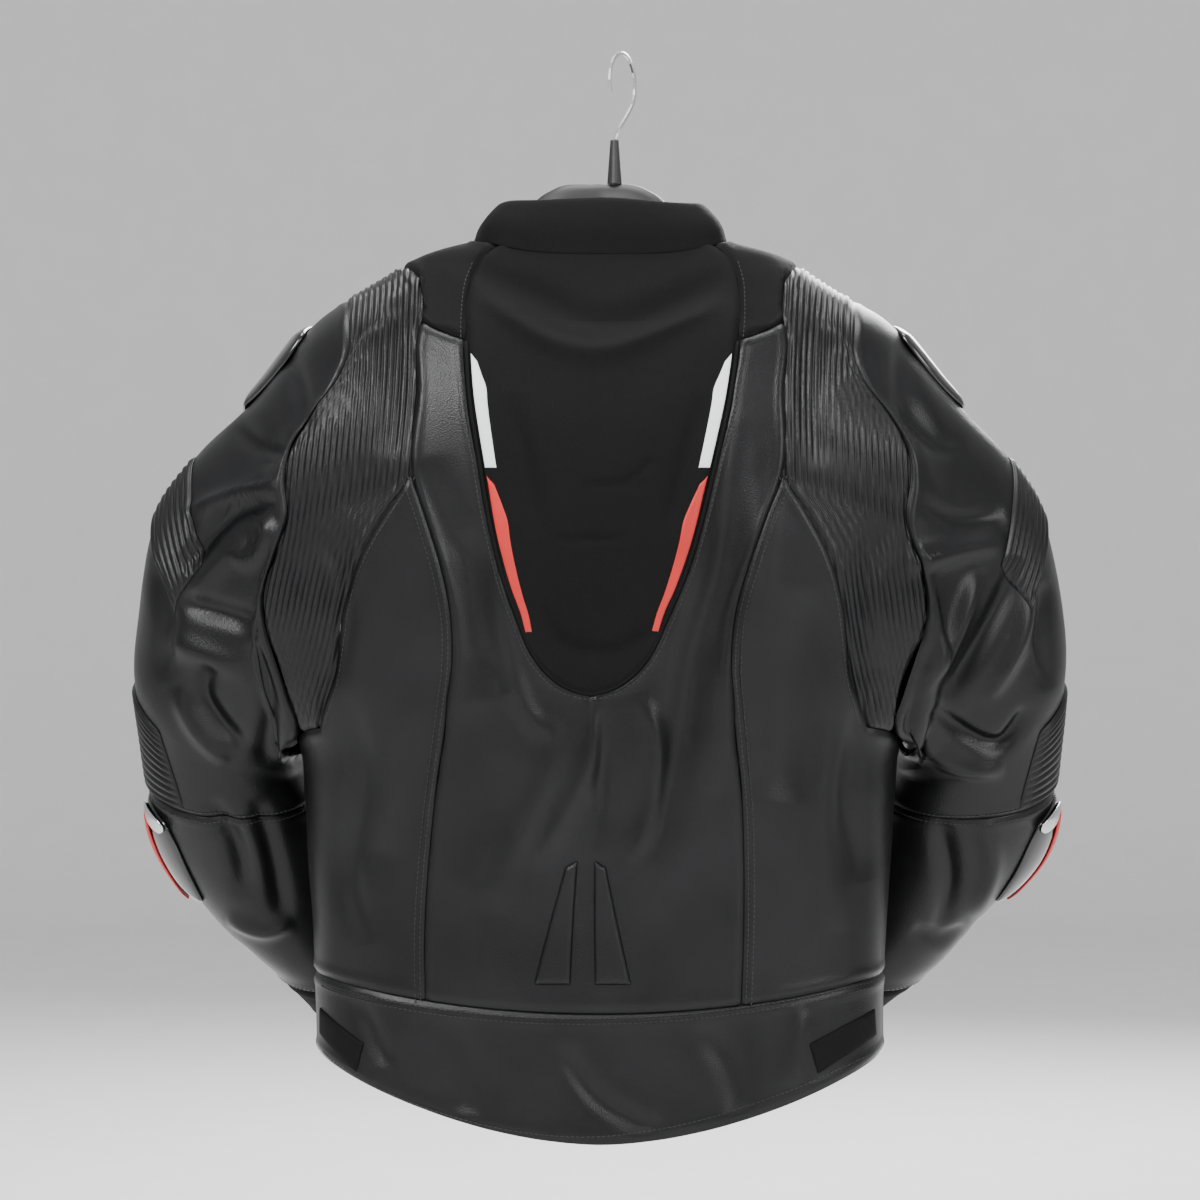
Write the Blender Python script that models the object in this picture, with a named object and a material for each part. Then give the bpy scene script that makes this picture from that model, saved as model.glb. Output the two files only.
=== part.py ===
"""A leather motorcycle jacket hanging on a moulded hanger, seen from behind at -Y.

The origin is the underside of the hook's crown, +Z is up and the jacket's front faces +Y.
Tables are in millimetres. L is the wearer's left, at -X.
"""

import math

import bpy
import numpy as np

# Driving sizes, in millimetres

MM = 0.001
LEATHER = 1.8
SEAM_GAP = 0.42
OVERLAY_GAP = 0.35
SQUARENESS = 0.06
HUMP_DEPTH = 13.0
HUMP_CENTRE_Z = -325.0
NECK_SIDE_X = 95.0
NECK_SIDE_Z = -142.0
NECK_BACK_Z = -155.0
NECK_FRONT_Z = -198.0
COLLAR_HEIGHT = 42.0
COLLAR_SIDE_DROP = 14.0
ARMHOLE_TOP_Z = -185.0
ARMPIT_Z = -522.0
HEM_SEAM_MIDDLE_Z = -718.0
HEM_SEAM_SIDE_Z = -692.0
HEM_EDGE_MIDDLE_Z = -814.0
HEM_EDGE_SIDE_Z = -752.0
FRONT_SEAM_MIDDLE_Z = -700.0
FRONT_EDGE_MIDDLE_Z = -762.0
RIB_PITCH = 4.4
RIB_HEIGHT = 1.3
ELBOW_RING = 7.0
CUFF_RING = 10.3
LAST_RING = 11.0
YOKE_TOP_X = 80.0
ZIP_HALF_TURN = 0.026
HOOK_RADIUS = 22.0
WIRE_RADIUS = 1.6
HOOK_SWIVEL = math.radians(66)
ORIGIN_X = 17.0
NECK_TOP_Z = -64.5
SLIDER_Z = -212.0

# The torso's level sections: height, half width, back depth, front depth

TORSO = np.array([
    (-142, 95, 58, 50),
    (-152, 132, 63, 55),
    (-164, 154, 69, 61),
    (-186, 190, 79, 70),
    (-208, 226, 90, 77),
    (-259, 266, 106, 87),
    (-301, 300, 112, 92),
    (-345, 312, 113, 94),
    (-417, 300, 109, 95),
    (-470, 264, 104, 94),
    (-522, 228, 99, 92),
    (-560, 223, 94, 91),
    (-620, 219, 88, 88),
    (-718, 214, 86, 86),
    (-820, 214, 88, 88),
], dtype=float)

# The pattern's middle line leans a little to the wearer's left going down: height, shift

LEAN = np.array([(-112, 6), (-206, 2), (-320, -2), (-442, -6), (-568, -9), (-652, -12), (-820, -13)], dtype=float)

# Seams of the back, for one side: height, distance from the middle line

INSERT_SIDE = np.array([(-206, 101), (-221, 100), (-260, 96), (-298, 89), (-327, 83), (-365, 75), (-404, 63),
                        (-432, 52)], dtype=float)
INSERT_END = np.array([(-432, 52), (-446, 46), (-459, 38), (-470, 27), (-478, 14), (-481, 0)], dtype=float)
RIBS_INNER = np.array([(-161, 148), (-174, 136), (-206, 134), (-238, 136), (-280, 137), (-320, 136)], dtype=float)
RIBS_LOWER = np.array([(-320, 136), (-333, 142), (-352, 157), (-374, 169), (-394, 178), (-424, 185),
                       (-462, 190), (-489, 196), (-508, 204)], dtype=float)
PRINCESS = np.array([(-320, 136), (-345, 127), (-382, 114), (-442, 102), (-496, 106), (-568, 114),
                     (-652, 118), (-718, 117)], dtype=float)
ARMHOLE_BACK = np.array([(-185, 189), (-205, 188), (-242, 188), (-258, 200), (-274, 212), (-294, 225),
                         (-325, 230), (-345, 227), (-368, 231), (-390, 240), (-428, 244), (-452, 238),
                         (-494, 225), (-512, 221), (-522, 228)], dtype=float)
ARMHOLE_FRONT = np.array([(-185, 189), (-205, 205), (-225, 204), (-245, 196), (-270, 187), (-300, 183),
                          (-345, 186), (-400, 195), (-450, 205), (-494, 217), (-512, 223), (-522, 228)], dtype=float)

# Rings of a sleeve: outer x on the left and right, outer z, inner x, inner z, middle y, half depth

SLEEVE = np.array([
    (224, 228, -208, 230, -526, 0, 77),
    (260, 266, -259, 232, -529, 3, 75),
    (302, 305, -301, 232, -532, 9, 71),
    (333, 332, -345, 232, -535, 17, 68),
    (348, 349, -418, 230, -540, 29, 65),
    (352, 352, -474, 227, -547, 42, 63),
    (347, 350, -553, 218, -560, 60, 60),
    (336, 340, -603, 205, -602, 80, 56),
    (302, 297, -653, 186, -650, 102, 51),
    (263, 265, -692, 166, -684, 123, 47),
    (225, 219, -735, 144, -712, 141, 43),
], dtype=float)


def smooth(value, knots, values):
    """A smooth curve through the table's values: cubic between knots, level with the slope of its neighbours."""
    order = np.argsort(knots)
    knots, values = knots[order], values[order]
    slope = np.gradient(values, knots)
    place = np.clip(np.searchsorted(knots, value) - 1, 0, len(knots) - 2)
    span = knots[place + 1] - knots[place]
    f = np.clip((value - knots[place]) / span, 0.0, 1.0)
    start, end = values[place], values[place + 1]
    leave, arrive = slope[place] * span, slope[place + 1] * span
    return ((1 + 2 * f) * (1 - f) ** 2 * start + f * (1 - f) ** 2 * leave
            + f * f * (3 - 2 * f) * end - f * f * (1 - f) * arrive)


def along(points, count, spread=None):
    """The same curve through count points, evenly spaced by length, or at the given fractions."""
    points = np.asarray(points, dtype=float)
    steps = np.linalg.norm(np.diff(points, axis=0), axis=1)
    length = np.concatenate([[0.0], np.cumsum(steps)])
    fractions = np.linspace(0.0, 1.0, count) if spread is None else spread
    knots = length / length[-1]
    return np.stack([np.interp(fractions, knots, points[:, k]) for k in range(points.shape[1])], axis=1)


def eased(table, count=60):
    """A table of height and distance, drawn as a smooth curve of distance and height."""
    steps = np.linalg.norm(np.diff(table, axis=0), axis=1)
    length = np.concatenate([[0.0], np.cumsum(steps)])
    place = np.linspace(0.0, length[-1], count)
    return np.stack([smooth(place, length, table[:, 1]), smooth(place, length, table[:, 0])], axis=1)


# The torso's surface

TURN = np.linspace(-math.pi / 2, math.pi / 2, 721)
TURN_ACROSS = (np.sin(TURN) + SQUARENESS * np.sin(3 * TURN)) / (1 - SQUARENESS)


def torso(turn, z):
    """A point of the torso: the turn is 0 at the middle of the back and pi at the middle of the front."""
    half = smooth(z, TORSO[:, 0], TORSO[:, 1])
    back = smooth(z, TORSO[:, 0], TORSO[:, 2])
    front = smooth(z, TORSO[:, 0], TORSO[:, 3])
    across = (np.sin(turn) + SQUARENESS * np.sin(3 * turn)) / (1 - SQUARENESS)
    facing = (np.cos(turn) - SQUARENESS * np.cos(3 * turn)) / (1 - SQUARENESS)
    x = half * across
    hump = HUMP_DEPTH * np.exp(-(x / 85.0) ** 2 - ((z - HUMP_CENTRE_Z) / 100.0) ** 2)
    y = np.where(facing > 0, -(back + hump) * facing, -front * facing)
    return np.stack([x, y, z + 0.0 * x], axis=-1)


def lean(z):
    """How far the pattern's middle line stands off x = 0 at a height."""
    return smooth(z, LEAN[:, 0], LEAN[:, 1])


def on_back(points, side=1):
    """Turns and heights of points given as distance from the middle line and height, on the back."""
    x, z = points[:, 0], points[:, 1]
    half = smooth(z, TORSO[:, 0], TORSO[:, 1])
    fade = np.clip(1 - (np.abs(x) / half) ** 6, 0, 1)
    ratio = np.clip((side * x + lean(z) * fade) / half, -1, 1)
    return np.stack([np.interp(ratio, TURN_ACROSS, TURN), z], axis=1)


def on_front(points, side=1):
    """The same on the front, without the lean."""
    x, z = points[:, 0], points[:, 1]
    half = smooth(z, TORSO[:, 0], TORSO[:, 1])
    turn = np.interp(np.clip(x / half, -1, 1), TURN_ACROSS, TURN)
    return np.stack([side * (math.pi - turn), z], axis=1)


def normals(grid, closed=False):
    """Unit normals of a grid of points."""
    down = np.gradient(grid, axis=0)
    if closed:
        wide = np.concatenate([grid[:, -2:-1], grid, grid[:, 1:2]], axis=1)
        across = (wide[:, 2:] - wide[:, :-2]) / 2
    else:
        across = np.gradient(grid, axis=1)
    normal = np.cross(across, down)
    return normal / np.linalg.norm(normal, axis=-1, keepdims=True)


def torso_out(turn, z):
    """The torso's outward direction, from points a hair away."""
    step = 1e-3
    across = torso(turn + step, z) - torso(turn - step, z)
    upward = torso(turn, z + 0.5) - torso(turn, z - 0.5)
    out = np.cross(across, upward)
    return out / np.linalg.norm(out, axis=-1, keepdims=True)


def fractions_of(values):
    """Where each value lies between the first and the last, or even steps where they are all alike."""
    if abs(values[-1] - values[0]) < 1e-6:
        return np.linspace(0, 1, len(values))
    return (values - values[0]) / (values[-1] - values[0])


def coons(top, bottom, left, right):
    """A grid that fills four edges: rows run from top to bottom, columns from left to right."""
    v = ((fractions_of(left[:, 1]) + fractions_of(right[:, 1])) / 2)[:, None, None]
    u = ((fractions_of(top[:, 0]) + fractions_of(bottom[:, 0])) / 2)[None, :, None]
    ruled = (1 - v) * top[None] + v * bottom[None] + (1 - u) * left[:, None] + u * right[:, None]
    corners = ((1 - v) * ((1 - u) * top[0] + u * top[-1]) + v * ((1 - u) * bottom[0] + u * bottom[-1]))
    return ruled - corners


def drawn_in(grid, gap, edges="tblr"):
    """The grid with its outer rows and columns moved inward by the seam gap."""
    grid = grid.copy()
    pairs = {"t": (np.s_[0], np.s_[1]), "b": (np.s_[-1], np.s_[-2]),
             "l": (np.s_[:, 0], np.s_[:, 1]), "r": (np.s_[:, -1], np.s_[:, -2])}
    for edge in edges:
        rim, next_row = pairs[edge]
        way = grid[next_row] - grid[rim]
        grid[rim] = grid[rim] + gap * way / np.maximum(np.linalg.norm(way, axis=-1, keepdims=True), 1e-6)
    return grid


def surface_wall(flat, thick=LEATHER, lift=0.0, gap=SEAM_GAP, edges="tblr", ribs=None):
    """Outer and inner points of a torso panel whose grid is given in turns and heights."""
    outer = torso(flat[..., 0], flat[..., 1])
    out = torso_out(flat[..., 0], flat[..., 1])
    inner = outer + out * (lift - thick if lift == 0 else lift)
    raised = outer + out * (lift if lift == 0 else lift + thick)
    if ribs is not None:
        raised = raised + out * ribs[..., None]
    return drawn_in(raised, gap, edges), drawn_in(inner, gap, edges)


# Making solids

def material(name, colour, roughness, metallic=0.0):
    """A plain Principled material."""
    made = bpy.data.materials.new(name)
    made.use_nodes = True
    shader = made.node_tree.nodes["Principled BSDF"]
    shader.inputs["Base Color"].default_value = (*colour, 1.0)
    shader.inputs["Roughness"].default_value = roughness
    shader.inputs["Metallic"].default_value = metallic
    return made


def wall(name, grids, look):
    """One closed solid from pairs of outer and inner grids whose shared edges are merged."""
    outer_points, inner_points, faces, index = [], [], [], {}
    for outer, inner in grids:
        rows, columns = outer.shape[:2]
        ids = np.zeros((rows, columns), dtype=int)
        for r in range(rows):
            for c in range(columns):
                key = tuple(np.round(outer[r, c], 3))
                if key not in index:
                    index[key] = len(outer_points)
                    outer_points.append(outer[r, c])
                    inner_points.append(inner[r, c])
                ids[r, c] = index[key]
        for r in range(rows - 1):
            for c in range(columns - 1):
                ring = [ids[r, c], ids[r + 1, c], ids[r + 1, c + 1], ids[r, c + 1]]
                ring = [v for k, v in enumerate(ring) if v != ring[k - 1]]
                if len(ring) > 2:
                    faces.append(ring)
    total = len(outer_points)
    edges = {(a, b) for ring in faces for a, b in zip(ring, ring[1:] + ring[:1])}
    rim = [(a, b) for a, b in edges if (b, a) not in edges]
    solid = faces + [[v + total for v in reversed(ring)] for ring in faces]
    solid += [[b, a, a + total, b + total] for a, b in sorted(rim)]
    mesh = bpy.data.meshes.new(name)
    points = (np.array(outer_points + inner_points) - (ORIGIN_X, 0, 0)) * MM
    mesh.from_pydata(points.tolist(), [], [[int(v) for v in ring] for ring in solid])
    mesh.validate()
    mesh.update()
    if solid_volume(mesh) < 0:
        mesh.flip_normals()
    mesh.shade_smooth()
    mesh.set_sharp_from_angle(angle=math.radians(40))
    piece = bpy.data.objects.new(name, mesh)
    piece.data.materials.append(look)
    JACKET.objects.link(piece)
    return piece


def ribbed_wall(name, outer, inner, look):
    """A wall whose columns rise and fall in turn outside, over a plain inside of the even columns."""
    rows, columns = outer.shape[:2]
    plain = inner[:, ::2]
    half = plain.shape[1]
    points = np.vstack([outer.reshape(-1, 3), plain.reshape(-1, 3)])
    base = rows * columns
    faces = []
    for r in range(rows - 1):
        for c in range(columns - 1):
            k = r * columns + c
            faces.append([k, k + columns, k + columns + 1, k + 1])
        for c in range(half - 1):
            k = base + r * half + c
            faces.append([k, k + 1, k + half + 1, k + half])
        a, b = r * columns, base + r * half
        faces.append([a, b, b + half, a + columns])
        a, b = a + columns - 1, b + half - 1
        faces.append([a, a + columns, b + half, b])
    for c in range(half - 1):
        a, b = 2 * c, base + c
        faces.append([a, a + 1, a + 2, b + 1, b])
        a, b = (rows - 1) * columns + 2 * c, base + (rows - 1) * half + c
        faces.append([b, b + 1, a + 2, a + 1, a])
    mesh = bpy.data.meshes.new(name)
    mesh.from_pydata(((points - (ORIGIN_X, 0, 0)) * MM).tolist(), [], faces)
    mesh.validate()
    mesh.update()
    if solid_volume(mesh) < 0:
        mesh.flip_normals()
    mesh.shade_smooth()
    mesh.set_sharp_from_angle(angle=math.radians(40))
    piece = bpy.data.objects.new(name, mesh)
    piece.data.materials.append(look)
    JACKET.objects.link(piece)
    return piece


def solid_volume(mesh):
    """The signed volume of a closed mesh."""
    mesh.calc_loop_triangles()
    co = np.array([v.co[:] for v in mesh.vertices])
    tri = np.array([t.vertices[:] for t in mesh.loop_triangles])
    a, b, c = co[tri[:, 0]], co[tri[:, 1]], co[tri[:, 2]]
    return float(np.einsum("ij,ij->i", a, np.cross(b, c)).sum() / 6)


for old in list(bpy.data.objects):
    bpy.data.objects.remove(old, do_unlink=True)
JACKET = bpy.data.collections.new("motorcycle_jacket")
bpy.context.scene.collection.children.link(JACKET)
LOOKS = {
    "leather": material("leather", (0.018, 0.018, 0.02), 0.42),
    "matte": material("matte", (0.008, 0.008, 0.009), 0.8),
    "ribbed": material("ribbed", (0.014, 0.014, 0.016), 0.5),
    "white": material("white", (0.72, 0.74, 0.76), 0.45),
    "red": material("red", (0.75, 0.045, 0.03), 0.45),
    "shell": material("shell", (0.02, 0.02, 0.022), 0.2),
    "moulded": material("moulded", (0.012, 0.012, 0.013), 0.45),
    "steel": material("steel", (0.6, 0.6, 0.6), 0.25, 1.0),
    "zip": material("zip", (0.03, 0.03, 0.032), 0.35, 0.8),
}
SIDES = (("L", -1), ("R", 1))


# Edges that panels share, as distance and height

def hem_seam(x):
    """Height of the hem band's seam on the back."""
    return HEM_SEAM_MIDDLE_Z + (HEM_SEAM_SIDE_Z - HEM_SEAM_MIDDLE_Z) * (np.abs(x) / 214.0) ** 2


def hem_edge(x):
    """Height of the hem's lower edge on the back."""
    return HEM_EDGE_MIDDLE_Z + (HEM_EDGE_SIDE_Z - HEM_EDGE_MIDDLE_Z) * (np.abs(x) / 214.0) ** 1.8


def side_seam(top, bottom, count, side):
    """The side seam as turns and heights."""
    z = np.linspace(top, bottom, count)
    return np.stack([np.full(count, side * math.pi / 2), z], axis=1)


def hem_line(distance, side):
    """Points of the hem seam at distances from the leaning middle line."""
    low = np.full(len(distance), HEM_SEAM_MIDDLE_Z)
    x = side * distance + lean(low) * (1 - (distance / 214.0) ** 6)
    return np.stack([distance, hem_seam(x)], axis=1)


def princess(side):
    """The princess seam from the ribbed panel to the hem seam."""
    foot = hem_line(np.array([117.0]), side)[0]
    curve = eased(PRINCESS)
    return along(np.vstack([curve[curve[:, 1] > foot[1] + 1.0], foot]), 12)


# The back

def row(points_a, points_b, count):
    """A straight edge between two points given in the same plane."""
    return along([points_a, points_b], count)


def neck_height(x):
    """Height of the neck seam across the back."""
    return NECK_BACK_Z + (NECK_SIDE_Z - NECK_BACK_Z) * np.abs(x / NECK_SIDE_X) ** 3


def neck_back(start, end, count):
    """Points of the neck seam across the back between two distances from the middle line."""
    x = np.linspace(start, end, count)
    return np.stack([x, neck_height(x)], axis=1)


SHOULDER_SEAM = np.array([(YOKE_TOP_X, neck_height(YOKE_TOP_X)), (88, -153), (95, -162), (100, -180), (101, -206),
                          (100, -221)])
YOKE_SIDE = SHOULDER_SEAM[:5]
NEAR_RIDGE = np.array([0, 0.06, 0.18, 0.4, 0.7, 1])


def between(curve, top, bottom, count):
    """Evenly spaced points of a curve between two heights."""
    fine = along(curve, 400)
    return along(fine[(fine[:, 1] <= top + 0.3) & (fine[:, 1] >= bottom - 0.3)], count)


# Each seam has one set of points, which both of its pieces use

INSERT_SIDE_POINTS = np.vstack([[101, -206], between(eased(INSERT_SIDE), -221, -432, 6)])
INSERT_END_POINTS = along(eased(INSERT_END), 5)
RIBS_TOP_POINTS = along(between(eased(RIBS_INNER), -161, -206, 80), 6, NEAR_RIDGE)
RIBS_MIDDLE_POINTS = between(eased(RIBS_INNER), -206, -320, 4)
RIBS_LOWER_POINTS = along(eased(RIBS_LOWER), 7)
ARMHOLE_BACK_POINTS = np.vstack([along(eased(ARMHOLE_BACK)[eased(ARMHOLE_BACK)[:, 1] > -512.5], 15,
                                       np.append([0, 0.02, 0.06, 0.12], np.linspace(0.2, 1, 11))),
                                 [228, ARMPIT_Z]])
ARMHOLE_FRONT_POINTS = along(eased(ARMHOLE_FRONT), 12,
                             np.append([0, 0.05, 0.1, 0.16], np.linspace(0.24, 1, 8)))
RIBS_TOP_POINTS[-1] = RIBS_MIDDLE_POINTS[0]
RIBS_MIDDLE_POINTS[-1] = RIBS_LOWER_POINTS[0]
INSERT_SIDE_POINTS[-1] = INSERT_END_POINTS[0]


def ridge(top, bottom, count, side):
    """The shoulder ridge between two heights, as turns and heights."""
    return side_seam(top, bottom, count, side)


def make_yoke():
    """The middle piece from the collar down to the raised insert."""
    right, left = on_back(YOKE_SIDE), on_back(YOKE_SIDE, -1)
    top = on_back(neck_back(-YOKE_TOP_X, YOKE_TOP_X, 11))
    bottom = on_back(row((-101, -206), (101, -206), 11))
    for edge in (top, bottom):
        edge[0] = left[0] if edge is top else left[-1]
        edge[-1] = right[0] if edge is top else right[-1]
    wall("back_yoke", [surface_wall(coons(top, bottom, left, right))], LOOKS["matte"])


def make_shoulder(tag, side):
    """The matte piece between the yoke and the ribbed panel."""
    inner = on_back(SHOULDER_SEAM, side)
    outer = on_back(RIBS_TOP_POINTS, side)
    top = np.vstack([on_back(neck_back(YOKE_TOP_X, NECK_SIDE_X, 4), side), ridge(NECK_SIDE_Z, -161, 4, side)[1:]])
    outer[0] = top[-1]
    inner[0] = top[0]
    bottom = along([inner[-1], outer[-1]], len(top))
    wall("shoulder_" + tag, [surface_wall(coons(top, bottom, inner, outer))], LOOKS["matte"])


def make_insert():
    """The padded U between the shoulders, over the hump."""
    left, right = on_back(INSERT_SIDE_POINTS, -1), on_back(INSERT_SIDE_POINTS)
    bottom = np.vstack([on_back(INSERT_END_POINTS, -1), on_back(INSERT_END_POINTS)[::-1][1:]])
    top = on_back(row((-101, -206), (101, -206), 9))
    top[0], top[-1], bottom[0], bottom[-1] = left[0], right[0], left[-1], right[-1]
    wall("back_insert", [surface_wall(coons(top, bottom, left, right))], LOOKS["matte"])


def make_back_center():
    """The leather between the princess seams, notched round the insert."""
    halves = []
    for tag, side in SIDES:
        notch = np.vstack([INSERT_SIDE_POINTS[1:], INSERT_END_POINTS[1:]])
        middle = np.array([(0, -481), hem_line(np.zeros(1), side)[0]])
        outer_line = np.vstack([RIBS_MIDDLE_POINTS, princess(side)[1:]])
        inner = np.vstack([notch, along(middle, len(outer_line) - len(notch) + 1)[1:]])
        inner_edge, outer_edge = on_back(inner, side), on_back(outer_line, side)
        bottom = on_back(hem_line(np.linspace(0, 117, 6), side), side)
        top = along([inner_edge[0], outer_edge[0]], 6)
        bottom[0], bottom[-1] = inner_edge[-1], outer_edge[-1]
        outer, under = surface_wall(coons(top, bottom, inner_edge, outer_edge), edges="tbr")
        for grid in (outer, under):
            notched = len(notch) - 1
            way = grid[:notched, 1] - grid[:notched, 0]
            grid[:notched, 0] += SEAM_GAP * way / np.linalg.norm(way, axis=-1, keepdims=True)
        if side < 0:
            outer, under = outer[:, ::-1], under[:, ::-1]
        halves.append((outer, under))
    wall("back_center", halves, LOOKS["leather"])


def make_back_side(tag, side):
    """The leather from the princess seam to the side seam, under the ribbed panel."""
    inner = on_back(princess(side), side)
    top = on_back(np.vstack([RIBS_LOWER_POINTS, ARMHOLE_BACK_POINTS[-2:]]), side)
    outer = side_seam(ARMPIT_Z, HEM_SEAM_SIDE_Z, 12, side)
    bottom = on_back(hem_line(np.linspace(117, 214, len(top)), side), side)
    top[0], top[-1], bottom[0], bottom[-1] = inner[0], outer[0], inner[-1], outer[-1]
    wall("back_side_" + tag, [surface_wall(coons(top, bottom, inner, outer))], LOOKS["leather"])


def make_ribbed_panel(tag, side):
    """The stretch panel behind the armhole, its ribs raised from crest to crest over a plain inside."""
    ribs = round((230 - 136) / RIB_PITCH)
    columns = 2 * ribs + 1
    inner = on_back(np.vstack([RIBS_TOP_POINTS, RIBS_MIDDLE_POINTS[1:], RIBS_LOWER_POINTS[1:]]), side)
    outer = on_back(ARMHOLE_BACK_POINTS[:-1], side)
    rows = len(inner)
    top = ridge(-161, ARMHOLE_TOP_Z, columns, side)
    inner[0], outer[0] = top[0], top[-1]
    bottom = along([inner[-1], outer[-1]], columns)
    crest = np.where(np.arange(columns) % 2 == 1, RIB_HEIGHT, 0.0)
    fade = np.minimum(1.0, np.minimum(np.arange(rows), np.arange(rows)[::-1]))
    ribs_up = crest[None, :] * fade[:, None]
    raised, under = surface_wall(coons(top, bottom, inner, outer), ribs=ribs_up)
    ribbed_wall("accordion_" + tag, raised, under, LOOKS["ribbed"])


def patch(name, corners, size, look, side=1, thick=1.2, lift=OVERLAY_GAP):
    """A four-cornered piece laid on the back, its corners given clockwise from the inner top."""
    rows, columns = size
    a, b, c, d = (np.array(corner, dtype=float) for corner in corners)
    top, bottom = on_back(row(a, b, columns), side), on_back(row(d, c, columns), side)
    left, right = on_back(row(a, d, rows), side), on_back(row(b, c, rows), side)
    wall(name, [surface_wall(coons(top, bottom, left, right), thick, lift, gap=0.0)], LOOKS[look])


def make_flashes(tag, side):
    """The white and the red slip beside the hump, following the insert's edge."""
    for name, look, start, end, width, taper in (("white", "white", -232, -316, 11, 0.75),
                                                 ("red", "red", -322, -436, 13, 0.4)):
        z = np.linspace(start, end, 9)
        edge = smooth(z, INSERT_SIDE[:, 0], INSERT_SIDE[:, 1]) - 3.5
        across = np.linspace(0, 1, 9)
        wide = width * (1 - (1 - taper) * across) * np.minimum(1, 0.45 + 2.2 * across)
        outer = on_back(np.stack([edge, z], axis=1), side)
        inner = on_back(np.stack([edge - wide, z - 6 * (1 - across)], axis=1), side)
        top, bottom = along([inner[0], outer[0]], 4), along([inner[-1], outer[-1]], 4)
        grid = coons(top, bottom, inner, outer)
        wall("flash_" + name + "_" + tag, [surface_wall(grid, 1.0, OVERLAY_GAP, gap=0.0)], LOOKS[look])


def make_piping():
    """The raised cord along the insert's edge."""
    half = np.vstack([INSERT_SIDE_POINTS[1:], INSERT_END_POINTS[1:]])
    edge = np.vstack([half * (-1, 1), half[::-1][1:]])
    flat = on_back(along(edge, 31))
    radius = 1.5
    points = torso(flat[:, 0], flat[:, 1]) + torso_out(flat[:, 0], flat[:, 1]) * (radius + OVERLAY_GAP)
    tube("insert_piping", points, radius, LOOKS["matte"], sides=1)


def tube(name, points, radius, look, sides=2):
    """A round bar along points, its ends capped."""
    curve = bpy.data.curves.new(name, "CURVE")
    curve.dimensions = "3D"
    curve.bevel_depth = radius * MM
    curve.bevel_resolution = sides
    curve.use_fill_caps = True
    spline = curve.splines.new("POLY")
    spline.points.add(len(points) - 1)
    shifted = (np.asarray(points) - (ORIGIN_X, 0, 0)) * MM
    spline.points.foreach_set("co", np.column_stack([shifted, np.ones(len(points))]).ravel())
    curve.materials.append(look)
    piece = bpy.data.objects.new(name, curve)
    JACKET.objects.link(piece)
    return piece


def make_hem():
    """The hem band: one piece on the back and one on each front."""
    turn = np.linspace(-math.pi / 2, math.pi / 2, 23)
    across = np.interp(turn, TURN, TURN_ACROSS) * 214
    top, low = hem_seam(across), hem_edge(across)
    z = top[None] + (low - top)[None] * np.linspace(0, 1, 3)[:, None]
    grid = np.stack([np.broadcast_to(turn, z.shape), z], axis=-1)
    wall("hem_back", [surface_wall(grid)], LOOKS["leather"])
    for tag, side in SIDES:
        part_turn = np.linspace(math.pi / 2, math.pi - ZIP_HALF_TURN, 11)
        dip = np.sin(part_turn) ** 2
        top = FRONT_SEAM_MIDDLE_Z + (HEM_SEAM_SIDE_Z - FRONT_SEAM_MIDDLE_Z) * dip
        low = FRONT_EDGE_MIDDLE_Z + (HEM_EDGE_SIDE_Z - FRONT_EDGE_MIDDLE_Z) * dip
        z = top[None] + (low - top)[None] * np.linspace(0, 1, 2)[:, None]
        grid = np.stack([np.broadcast_to(side * part_turn, z.shape), z], axis=-1)
        wall("hem_front_" + tag, [surface_wall(grid)], LOOKS["leather"])


# The front

FRONT_STEPS = np.array([0, 0.17, 0.34, 0.5, 0.65, 0.78, 0.88, 0.95, 1])


def neck_front(steps, side):
    """The neck seam on one front, at steps from the middle to the shoulder, as turns and heights."""
    end = math.pi - ZIP_HALF_TURN
    x = NECK_SIDE_X * np.sin(steps * math.pi / 2)
    z = NECK_SIDE_Z + (NECK_FRONT_Z - NECK_SIDE_Z) * (1 - (x / NECK_SIDE_X) ** 2) ** 0.8
    half = smooth(z, TORSO[:, 0], TORSO[:, 1])
    turn = math.pi - np.interp(x / half, TURN_ACROSS, TURN)
    return np.stack([side * np.minimum(turn, end), z], axis=1)


def make_front(tag, side):
    """One front, from the zip to the side seam, with its armhole."""
    end = math.pi - ZIP_HALF_TURN
    top = neck_front(FRONT_STEPS, side)
    armhole = on_front(ARMHOLE_FRONT_POINTS, side)
    shoulder = ridge(NECK_SIDE_Z, ARMHOLE_TOP_Z, 4, side)
    seam = side_seam(ARMPIT_Z, HEM_SEAM_SIDE_Z, 6, side)
    armhole[0], armhole[-1] = shoulder[-1], seam[0]
    outer = np.vstack([shoulder, armhole[1:], seam[1:]])
    drop = (NECK_FRONT_Z - NECK_SIDE_Z) * np.exp((outer[:, 1] - NECK_SIDE_Z) / 80.0)
    z = outer[:, 1] + drop + (FRONT_SEAM_MIDDLE_Z - HEM_SEAM_SIDE_Z) * fractions_of(outer[:, 1])
    middle = np.stack([np.full(len(outer), side * end), z], axis=1)
    turn = end + (math.pi / 2 - end) * FRONT_STEPS
    dip = np.sin(turn) ** 2
    bottom = np.stack([side * turn, FRONT_SEAM_MIDDLE_Z + (HEM_SEAM_SIDE_Z - FRONT_SEAM_MIDDLE_Z) * dip], axis=1)
    top[0], top[-1], bottom[0], bottom[-1] = middle[0], outer[0], middle[-1], outer[-1]
    u, v = FRONT_STEPS[None, :, None], fractions_of(outer[:, 1])[:, None, None]
    reach = np.concatenate([u, 1 - (1 - u) ** 2], axis=-1)
    flat = middle[:, None] + (outer - middle)[:, None] * reach
    flat += (top - flat[0]) * (1 - v) ** 4 + (bottom - flat[-1]) * v ** 4
    wall("front_" + tag, [surface_wall(flat)], LOOKS["leather"])


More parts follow.
